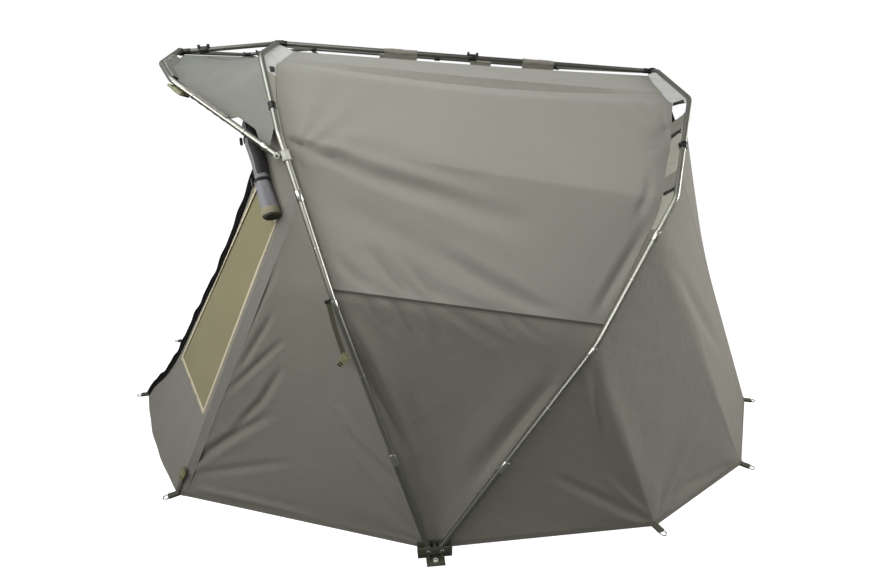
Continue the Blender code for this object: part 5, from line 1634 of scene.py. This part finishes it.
def swept(name, path, section, finish, girth, seed, twist=0.0, loose=0.06):
    """A section swept along a path, with its girth at each step and a little twist and looseness."""
    along = np.gradient(path, axis=0)
    along /= np.linalg.norm(along, axis=1, keepdims=True)
    phase = np.random.default_rng(seed).uniform(0, 6.28, 4)
    shape = bmesh.new()
    rows = []
    base = Vector((1, 0, 0))
    for step, spot in enumerate(path):
        way = Vector(along[step])
        side_way = (base - way * base.dot(way)).normalized()
        third = way.cross(side_way)
        share = step / (len(path) - 1)
        row = []
        for x, y in section:
            angle = math.atan2(y, x) + twist * share
            crumple = math.sin(3 * angle + 31 * share + phase[0]) * math.sin(17 * share + phase[1])
            radius = math.hypot(x, y) * girth[step] * (1 + loose * crumple)
            radius *= 1 + 0.5 * loose * math.sin(5 * angle + 60 * share + phase[2])
            out = side_way * radius * math.cos(angle) + third * radius * math.sin(angle)
            row.append(shape.verts.new(Vector(spot) + out))
        rows.append(row)
    skin(shape, rows)
    return solid(name, shape, finish, 55)


def roll_section(radius, step):
    """A round section with the free edge of the rolled cloth standing a little proud."""
    made = []
    for index in range(44):
        turn = 2 * math.pi * index / 44
        reach = radius + step * (1 - turn / (2 * math.pi))
        made.append((reach * math.cos(turn), reach * math.sin(turn)))
    return made


def make_roll():
    """The door rolled up under the hood: grey cloth, a black shell along one side of it, ties and open ends.
    """
    path = roll_path(count(300))
    lengths = run_lengths(path)
    from_end = np.minimum(lengths, lengths[-1] - lengths)
    girth = np.interp(from_end, (0.0, 0.060, 0.105, 0.125, 0.20, 0.30), (1.02, 0.92, 0.80, 0.78, 0.80, 0.92))
    section = roll_section(ROLL_RADIUS, 0.0030)
    body = swept("door_roll_cloth", path[2:-2], section, "roll_grey", girth[2:-2], 5, 2.2)
    belong(body, "front_rib", "door_roll")
    # A black shell along one side of the roll.
    section = []
    for radius, start, end in ((0.0262, -112, 50), (0.0215, 50, -112)):
        for turn in np.linspace(math.radians(start), math.radians(end), 18):
            section.append((radius * math.cos(turn), radius * math.sin(turn)))
    first = int(np.searchsorted(lengths, 0.122))
    kept = slice(first, -first)
    black_side = swept("door_roll_flap", path[kept], section, "roll_black", girth[kept], 9, loose=0.03)
    belong(black_side, "front_rib")
    for name, side in SIDES:
        line = path if side == NEAR else path[::-1]
        ties = []
        for where, wide in ((0.108, 0.0206), (0.235, 0.0222), (0.62, 0.0258), (1.05, 0.0258)):
            spot, ahead = (Vector(read_line(place, lengths, line)) for place in (where, where + 0.01))
            way = (ahead - spot).normalized()
            out = Vector((-1, 0, 0))
            out = (out - way * out.dot(way)).normalized() * 0.0285
            half, reach = way * 0.0045, way * 0.012
            ties.append(rod("tie", wide, spot - half, spot + half, "black_webbing", 44, 0.0006))
            spot = spot + out
            ties.append(rod("toggle", 0.0042, spot - reach, spot + reach, "black_plastic", 20, 0.0012))
        belong(joined("roll_ties_" + name, ties), "front_rib")
        tip = Vector(line[0])
        way = (Vector(line[6]) - tip).normalized()
        collar = rod("roll_end_" + name, 0.0262, tip + way * 0.0008, tip + way * 0.022, "roll_end", 48, 0.003)
        belong(collar, "front_rib")
        coils = [rod("core", 0.0205, tip - way * 0.0012, tip + way * 0.004, "hub", 44)]
        for radius in (0.0205, 0.0160, 0.0115, 0.0070):
            coils.append(ring("coil", tip - way * 0.0016, way, radius, 0.0013, "webbing", 40, 8))
        # A black disc in the roll's hollow end: painted shade of the hollow.
        coils.append(rod("hole", 0.0045, tip - way * 0.0020, tip, "black_plastic", 24))
        belong(joined("roll_coils_" + name, coils), "front_rib")


# Patches between the roof's edges and the ribs
def stations(line, rib):
    """A height for each row on the sides, and 3 less the half width for each row on the top."""
    half = np.abs(line[:, 1])
    return np.where(half < 0.93, 3.0 - half, height_up(rib, line))


def edge_patch(name, roof, rib, side, low, high, finish, width, lift, slant):
    """A patch from the roof's edge to the rib, between two stations along the rib."""
    word = "front" if rib == FRONT else "rear"
    cloth, tube_line = roof[word], roof[word + "_tube"]
    column = 0 if rib == FRONT else -1
    ripple = 0.0018 if finish == "gusset_fabric" else 0.0012
    station = stations(tube_line, rib)
    rows = np.nonzero(tube_line[:, 1] * side > 0)[0]
    rows = rows[np.argsort(station[rows])]
    want = np.linspace(low, high, max(4, round((high - low) / 0.010)))
    edge = read_line(want + slant, station[rows], cloth.grid[rows, column])
    normal = read_line(want, station[rows], cloth.normal[rows, column])
    normal /= np.linalg.norm(normal, axis=1, keepdims=True)
    outer = read_line(want, station[rows], tube_line[rows])
    edge = edge - normal * 0.0012
    even = np.linspace(0, 1, 9)[None, :, None]
    share = width[0] + (width[1] - width[0]) * even
    order = np.arange(len(want))[:, None, None]
    swell = ripple * np.sin(order * 0.55 + 4 * share) * np.sin(np.pi * even)
    grid = edge[:, None] * (1 - share) + outer[:, None] * share + normal[:, None] * (lift + swell)
    item = sheet_object(name, grid, np.broadcast_to(normal[:, None], grid.shape), finish, 0.0011)
    return hang(item, rib, ROOF_REACH)


PATCHES = (
    ("shoulder_front_", FRONT, 1.500, 2.395, "gusset_fabric", (0.0, 1.0), 0.0, 0.0),
    ("shoulder_rear_", REAR, 1.576, 2.395, "gusset_fabric", (0.0, 1.0), 0.0, 0.0),
    # The black strips at the tabs' and gussets' edges are painted shadow.
    ("slot_front_", FRONT, 1.494, 1.512, "black_webbing", (0.12, 0.50), 0.0022, 0.016),
    ("strip_front_", FRONT, 0.935, 1.500, "strip_cloth", (0.0, 0.95), 0.0, 0.0),
    ("slot_rear_", REAR, 1.577, 1.588, "black_webbing", (0.05, 0.72), 0.0022, -0.004),
    ("tab_upper_", REAR, 1.505, 1.548, "wall_fabric", (0.0, 1.0), 0.0016, -0.030),
    ("slot_upper_", REAR, 1.494, 1.506, "black_webbing", (0.0, 0.60), 0.0024, -0.024),
    ("strip_upper_", REAR, 1.395, 1.482, "strip_cloth", (0.0, 1.0), 0.0, 0.0),
    ("tab_lower_", REAR, 1.330, 1.376, "wall_fabric", (0.0, 1.0), 0.0024, -0.022),
    ("slot_lower_", REAR, 1.320, 1.331, "black_webbing", (0.1, 0.95), 0.0030, -0.020),
    ("strip_lower_", REAR, 1.195, 1.395, "strip_cloth", (0.0, 1.0), 0.0, 0.0),
    ("strip_foot_", REAR, 0.905, 1.197, "seam_tape", (0.0, 1.0), 0.0, 0.0),
)
def make_gussets(roof):
    """Shoulder gussets, edge tabs, black strips of painted shadow at their edges, and the light strips
    between them.
    """
    for name, side in SIDES:
        for word, rib, *values in PATCHES:
            patch = edge_patch(word + name, roof, rib, side, *values)
            if word.startswith("shoulder"):
                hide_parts(word.replace("shoulder", "gusset") + name)


def make_pockets():
    """Corner pockets that wrap the hood rib's corners, and the sleeve and slot on each of its legs."""
    outer = resample(peak_arch(-0.0012, 0.300, 3, 10), 400)
    inner = resample(peak_arch(0.030, 0.300, 3, 10), 400)
    first, last = (int(np.searchsorted(run_lengths(outer)[1:], reach)) for reach in (0.055, 0.400))
    up = np.array((math.sin(PEAK_RISE), 0, math.cos(PEAK_RISE)))
    wrap = np.linspace(math.radians(-60), math.radians(-300), 12)
    for name, side in SIDES:
        grid = []
        for row in range(first, last):
            direction = inner[row] - outer[row]
            direction /= np.linalg.norm(direction)
            centre = outer[row] + direction * (TUBE_RADIUS + 0.0012)
            deep = direction * (0.030 + 0.018 * math.sin(math.pi * (row - first) / (last - first)))
            around = [centre + deep - up * 0.0005, centre + deep * 0.5 - up * 0.0060]
            for turn in wrap:
                loose = TUBE_RADIUS + 0.0016 + 0.0006 * math.sin(row * 0.35 + turn * 3)
                around.append(centre + (direction * math.cos(turn) + up * math.sin(turn)) * loose)
            around += [centre + deep * 0.5 + up * 0.0068, centre + deep + up * 0.0030]
            grid.append(around)
        grid = np.array(grid) * np.array((1, -side, 1))
        item = sheet_object("hood_pocket_" + name, grid, grid_normals(grid), "fold_band", 0.0008)
        belong(item, "peak_rib", "peak_pocket_" + name)
        start, elbow, along = hood_leg(side)
        inward = Vector(up).cross(along)
        if inward.y * side > 0:
            inward = -inward
        grid = []
        for index, share in enumerate(np.linspace(0.465, 0.86, count(60))):
            spot = arr(start.lerp(elbow, share))
            row = []
            for turn in np.linspace(math.radians(-70), math.radians(160), 14):
                loose = TUBE_RADIUS + 0.0022 + 0.0007 * math.sin(index * 0.6 + turn * 2)
                row.append(spot + (arr(inward) * math.cos(turn) + up * math.sin(turn)) * loose)
            grid.append(row)
        grid = np.array(grid)
        item = sheet_object("hood_sleeve_" + name, grid, grid_normals(grid), "fold_band", 0.0008)
        belong(item, "peak_rib")
        place = basis(along, up, Vector(grid[-1, 4]) + along * 0.030)
        slot = block("pocket_slot_" + name, (0.024, 0.006, 0.004), place, "black_webbing", 0.001)
        belong(slot, "peak_rib")


def rest_on_ground():
    """Flatten the hems and tapes where they would dip below the ground."""
    for item in bpy.data.objects:
        if item.name.startswith(("hem_", "corner_tape_", "corner_stitches_")):
            for vertex in item.data.vertices:
                vertex.co.z = max(vertex.co.z, GROUND_CLEAR)


# Straps and buckles
def strap(name, points, width, normal):
    """A webbing strap along points."""
    points = arrayed(points)
    across = np.cross(arr(normal), np.gradient(points, axis=0))
    across *= width / 2 / np.linalg.norm(across, axis=1, keepdims=True)
    grid = np.stack([points - across, points + across], axis=1)
    normals = np.broadcast_to(arr(normal) / np.linalg.norm(arr(normal)), grid.shape)
    return sheet_object(name, grid, normals, "webbing", 0.0014)


def buckle(name, centre, along, normal, size):
    """A side-release buckle: body, side arms and strap bars."""
    centre, along, normal = Vector(centre), Vector(along).normalized(), Vector(normal).normalized()
    across = normal.cross(along)
    items = []
    for word, shape, ahead, aside, bevel in (
        ("body", (0.024, 0.022, 0.0085), 0.0, 0.0, 0.0016),
        ("arm", (0.018, 0.0045, 0.0070), -0.006, -0.0125, 0.0012),
        ("side", (0.016, 0.0030, 0.0055), 0.018, -0.0095, 0.0008),
        ("arm", (0.018, 0.0045, 0.0070), -0.006, 0.0125, 0.0012),
        ("side", (0.016, 0.0030, 0.0055), 0.018, 0.0095, 0.0008),
        ("bar", (0.0035, 0.020, 0.0050), 0.025, 0.0, 0.0008),
        ("bar", (0.0035, 0.022, 0.0050), -0.016, 0.0, 0.0008),
    ):
        place = basis(along, normal, centre + (along * ahead + across * aside) * size)
        items.append(block(word, [value * size for value in shape], place, "olive_plastic", bevel))
    return joined(name, items)


def make_straps():
    """The strap and buckle beside the front rib, at the front corner, and under the hood rib."""
    for name, side in SIDES:
        top, along = on_rib(FRONT, side, 0.905)
        low, _ = on_rib(FRONT, side, 0.735)
        ahead = Vector((-math.cos(LEAN[FRONT]), 0, -math.sin(LEAN[FRONT])))
        out = Vector((0, side, 0))
        path = [
            top.lerp(low, share) + ahead * (0.013 + 0.012 * share + 0.003 * math.sin(3 * share)) + out * 0.004
            for share in np.linspace(0, 1, 20)
        ]
        belong(strap("rib_strap_" + name, path, 0.013, out), "front_rib")
        place = basis(along, out, path[0] + out * 0.002)
        loop = block("rib_strap_loop_" + name, (0.010, 0.020, 0.004), place, "black_webbing", 0.001)
        belong(loop, "front_rib")
        away = ahead * 0.8 - along * 0.6
        clasp = buckle("rib_buckle_" + name, path[-1] + out * 0.008, away, out, 0.85)
        belong(clasp, "front_rib")
        place = basis(away, out, path[-1] + out * 0.007 + away * 0.022)
        keeper = block("rib_buckle_keeper_" + name, (0.010, 0.014, 0.005), place, "black_plastic", 0.0012)
        belong(keeper, "front_rib")
        line = fold_line(side, 60)
        outward = (Vector(panel_outward(side)) + Vector((0.0, side * 0.4, 0))).normalized()
        foot, way = Vector(line[0]), Vector(line[10] - line[0]).normalized()
        spots = [foot + way * s + outward * 0.0050 for s in np.linspace(0.012, 0.150, 12)]
        hang(strap("corner_strap_" + name, spots, 0.018, outward), FRONT, FRONT_REACH)
        clasp = buckle("corner_buckle_" + name, foot + way * 0.118 + outward * 0.0105, -way, outward, 1.1)
        hang(clasp, FRONT, FRONT_REACH)
        start, elbow, along = hood_leg(side)
        rise = Vector((-math.cos(PEAK_RISE), 0, math.sin(PEAK_RISE)))
        under = Vector((0, side, 0)).cross(rise).normalized()
        if under.z > 0:
            under = -under
        clasp = buckle("hood_buckle_" + name, start.lerp(elbow, 0.90) + under * 0.0135, along, under, 1.25)
        belong(clasp, "peak_rib", "peak_buckle_" + name)


HOOD_SEAM = ((0.93, 0.355), (0.80, 0.372), (0.62, 0.372), (0.42, 0.352), (0.22, 0.322), (0.06, 0.300))
def make_hood_seam(hood):
    """The curved seam across the hood and its stitches."""
    rows, columns = hood.outer.shape[:2]
    want = np.linspace(0, len(HOOD_SEAM) - 1, 60)
    for name, side in SIDES:
        across, up = np.array(HOOD_SEAM).T
        up = up if side == NEAR else 1 - up
        row, column = (
            np.floor(np.interp(want, np.arange(len(values)), values)).astype(int)
            for values in (up * (rows - 1), across * (columns - 1))
        )
        points, normals = hood.outer[row, column], hood.normal[row, column]
        padded = np.pad(points, ((3, 3), (0, 0)), mode="edge")
        points = np.stack([np.convolve(padded[:, k], np.ones(7) / 7, "valid") for k in range(3)], axis=1)
        seam_band("hood_seam_" + name, points, normals, 0.005, "seam_tape", hood_blend)
        stitches("hood_seam_stitches_" + name, [points + normals * 0.0016], (0, 0, 1), hood_blend)


# Setting
def seen_directly(tree):
    """One for rays from the camera or through clear pieces, and nought for others."""
    path = tree.nodes.new("ShaderNodeLightPath")
    seen = tree.nodes.new("ShaderNodeMath")
    seen.operation = "MAXIMUM"
    for index, ray in enumerate(("Is Camera Ray", "Is Transmission Ray")):
        tree.links.new(path.outputs[ray], seen.inputs[index])
    return seen.outputs[0]


def white_for_camera(name, color, glow, share):
    """A floor that cameras see as white, that keeps the object's shadow, and that bounces little light."""
    made, tree, shader = new_material(name, color, 0.9)
    light = tree.nodes.new("ShaderNodeEmission")
    light.inputs["Color"].default_value = (1, 1, 1, 1)
    light.inputs["Strength"].default_value = glow
    matt = tree.nodes.new("ShaderNodeBsdfDiffuse")
    matt.inputs["Color"].default_value = (share, share, share, 1)
    both = tree.nodes.new("ShaderNodeAddShader")
    mix = tree.nodes.new("ShaderNodeMixShader")
    for output, entry in (
        (light.outputs["Emission"], both.inputs[0]), (matt.outputs["BSDF"], both.inputs[1]),
        (seen_directly(tree), mix.inputs["Fac"]), (shader.outputs["BSDF"], mix.inputs[1]),
        (both.outputs[0], mix.inputs[2]),
        (mix.outputs["Shader"], tree.nodes["Material Output"].inputs["Surface"]),
    ):
        tree.links.new(output, entry)
    return made


LAMPS = (
    ("overhead", (-1.9, -0.9, 3.6), (-0.5, -0.6, 1.4), 2.6, 2.4, 22, 120, (0.95, 1.0, 0.99)),
    ("near", (-1.4, -3.9, 3.2), (-0.4, -1.1, 1.40), 3.0, 1.6, 12, 62, (1.0, 0.985, 0.955)),
    ("side", (4.7, -1.0, 2.0), (1.1, -0.5, 1.15), 2.4, 1.8, 36, 68, (1.0, 0.99, 0.96)),
    ("front", (-4.0, -2.8, 2.7), (-0.8, -0.7, 1.15), 2.6, 2.0, 17, 74, (1.0, 0.99, 0.98)),
)
PHOTO_WIDTH = 870
PHOTO_CAMERA = {"yaw": 6.026, "pitch": -21.937, "focal": 569.23, "spot": (-0.1461 + HUB_X, -2.7681, 1.4947)}
def make_stage():
    """A plain white floor and sky, soft light from above, and the camera."""
    scene = bpy.context.scene
    scene.view_settings.view_transform = "Standard"
    shape = bmesh.new()
    bmesh.ops.create_grid(shape, x_segments=1, y_segments=1, size=40)
    data = bpy.data.meshes.new("floor")
    shape.to_mesh(data)
    shape.free()
    data.materials.append(white_for_camera("floor_white", (0.12, 0.12, 0.115), 0.94, 0.50))
    link("floor", data)
    world = bpy.data.worlds.new("sky")
    scene.world = world
    world.use_nodes = True
    tree = world.node_tree
    back = tree.nodes["Background"]
    back.inputs["Color"].default_value = (1, 1, 1, 1)
    blend = tree.nodes.new("ShaderNodeMapRange")
    blend.inputs["To Min"].default_value = 0.21
    blend.inputs["To Max"].default_value = 1.0
    tree.links.new(seen_directly(tree), blend.inputs["Value"])
    tree.links.new(blend.outputs["Result"], back.inputs["Strength"])
    for row in LAMPS:
        add_lamp(*row)
    camera = bpy.data.cameras.new("camera")
    camera.sensor_width = 36
    camera.lens = PHOTO_CAMERA["focal"] / PHOTO_WIDTH * camera.sensor_width
    camera.clip_end = 200
    item = link("camera", camera)
    yaw, pitch = math.radians(PHOTO_CAMERA["yaw"]), math.radians(PHOTO_CAMERA["pitch"])
    ahead = Vector((math.sin(yaw) * math.cos(pitch), math.cos(yaw) * math.cos(pitch), math.sin(pitch)))
    right = Vector((math.cos(yaw), -math.sin(yaw), 0))
    turn = Matrix((right, right.cross(ahead), -ahead)).transposed().to_4x4()
    turn.translation = Vector(PHOTO_CAMERA["spot"])
    item.matrix_world = turn
    scene.camera = item


def add_lamp(name, spot, target, wide, deep, power, spread, color):
    """A soft area lamp aimed at a point."""
    lamp = bpy.data.lights.new(name, "AREA")
    lamp.shape = "RECTANGLE"
    lamp.size = wide
    lamp.size_y = deep
    lamp.energy = power
    lamp.spread = math.radians(spread)
    lamp.color = color
    item = link(name, lamp)
    aim = (Vector(target) - Vector(spot)).to_track_quat("-Z", "Y").to_matrix().to_4x4()
    item.matrix_world = Matrix.Translation(Vector(spot)) @ aim


# Operators
BUILT = {}


class BIVVY_OT_frame(bpy.types.Operator):
    """Build the ribs, hood rib, brackets and roof bars"""

    bl_idname = "bivvy.frame"
    bl_label = "Build frame"

    def execute(self, context):
        for word, rib in RIBS:
            make_rib_frame(word, rib)
        make_brackets()
        make_hood_rib()
        make_bars()
        return {"FINISHED"}


class BIVVY_OT_ground(bpy.types.Operator):
    """Build the ground hubs and the pegging tabs"""

    bl_idname = "bivvy.ground"
    bl_label = "Build hubs and tabs"

    def execute(self, context):
        for name, side in SIDES:
            make_hub(name, side)
        make_tabs()
        return {"FINISHED"}


class BIVVY_OT_cloth(bpy.types.Operator):
    """Build the cloth of the roof, walls and hood"""

    bl_idname = "bivvy.cloth"
    bl_label = "Build cloth"

    def execute(self, context):
        BUILT["roof"] = make_roof_cloth()
        BUILT["sides"] = {name: make_side_cloth(name, side) for name, side in SIDES}
        BUILT["fronts"] = {name: make_front_cloth(name, side) for name, side in SIDES}
        BUILT["rears"] = {name: make_rear_cloth(name, side) for name, side in SIDES}
        BUILT["back"] = make_back_cloth()
        BUILT["hood"] = make_hood_cloth()
        return {"FINISHED"}


class BIVVY_OT_sewing(bpy.types.Operator):
    """Build the seams, hems, gussets and pockets on the cloth"""

    bl_idname = "bivvy.sewing"
    bl_label = "Build seams and gussets"

    def execute(self, context):
        if "roof" not in BUILT:
            raise RuntimeError("the cloth has to be built first")
        make_seams(BUILT["sides"])
        make_hems(BUILT["fronts"], BUILT["rears"], BUILT["back"])
        make_gussets(BUILT["roof"])
        make_pockets()
        make_hood_seam(BUILT["hood"])
        rest_on_ground()
        return {"FINISHED"}


class BIVVY_OT_openings(bpy.types.Operator):
    """Build the mesh windows, zips and rolled door"""

    bl_idname = "bivvy.openings"
    bl_label = "Build windows, zips and door"

    def execute(self, context):
        for name, side in SIDES:
            make_window(name, side)
            make_zip(name, side)
        make_roll()
        return {"FINISHED"}


class BIVVY_OT_straps(bpy.types.Operator):
    """Build the straps and buckles"""

    bl_idname = "bivvy.straps"
    bl_label = "Build straps"

    def execute(self, context):
        make_straps()
        return {"FINISHED"}


class BIVVY_OT_stage(bpy.types.Operator):
    """Set the floor, lights and camera"""

    bl_idname = "bivvy.stage"
    bl_label = "Set stage"

    def execute(self, context):
        make_stage()
        return {"FINISHED"}


class BIVVY_PT_panel(bpy.types.Panel):
    """Colours, sizes and build steps of the bivvy tent"""

    bl_idname = "BIVVY_PT_panel"
    bl_label = "Bivvy Tent"
    bl_space_type = "VIEW_3D"
    bl_region_type = "UI"
    bl_category = "Bivvy"

    def draw(self, context):
        layout = self.layout
        for group in (context.scene.bivvy_colours, context.scene.bivvy_sizes):
            for key in group.bl_rna.properties.keys():
                if key not in ("rna_type", "name"):
                    layout.prop(group, key)
        for step in STEPS:
            layout.operator(step.bl_idname)


STEPS = (
    BIVVY_OT_frame, BIVVY_OT_ground, BIVVY_OT_cloth, BIVVY_OT_sewing, BIVVY_OT_openings, BIVVY_OT_straps,
    BIVVY_OT_stage,
)
CLASSES = (BivvyColours, BivvySizes) + STEPS + (BIVVY_PT_panel,)


def register():
    """Add the settings, operators and panel."""
    for item in CLASSES:
        bpy.utils.register_class(item)
    bpy.types.Scene.bivvy_colours = bpy.props.PointerProperty(type=BivvyColours)
    bpy.types.Scene.bivvy_sizes = bpy.props.PointerProperty(type=BivvySizes)


def unregister():
    """Remove the settings, operators and panel."""
    del bpy.types.Scene.bivvy_sizes
    del bpy.types.Scene.bivvy_colours
    for item in reversed(CLASSES):
        bpy.utils.unregister_class(item)


def main():
    """Build everything."""
    register()
    bpy.ops.bivvy.frame()
    bpy.ops.bivvy.ground()
    bpy.ops.bivvy.cloth()
    bpy.ops.bivvy.sewing()
    bpy.ops.bivvy.openings()
    bpy.ops.bivvy.straps()
    bpy.ops.bivvy.stage()


if __name__ == "__main__":
    main()
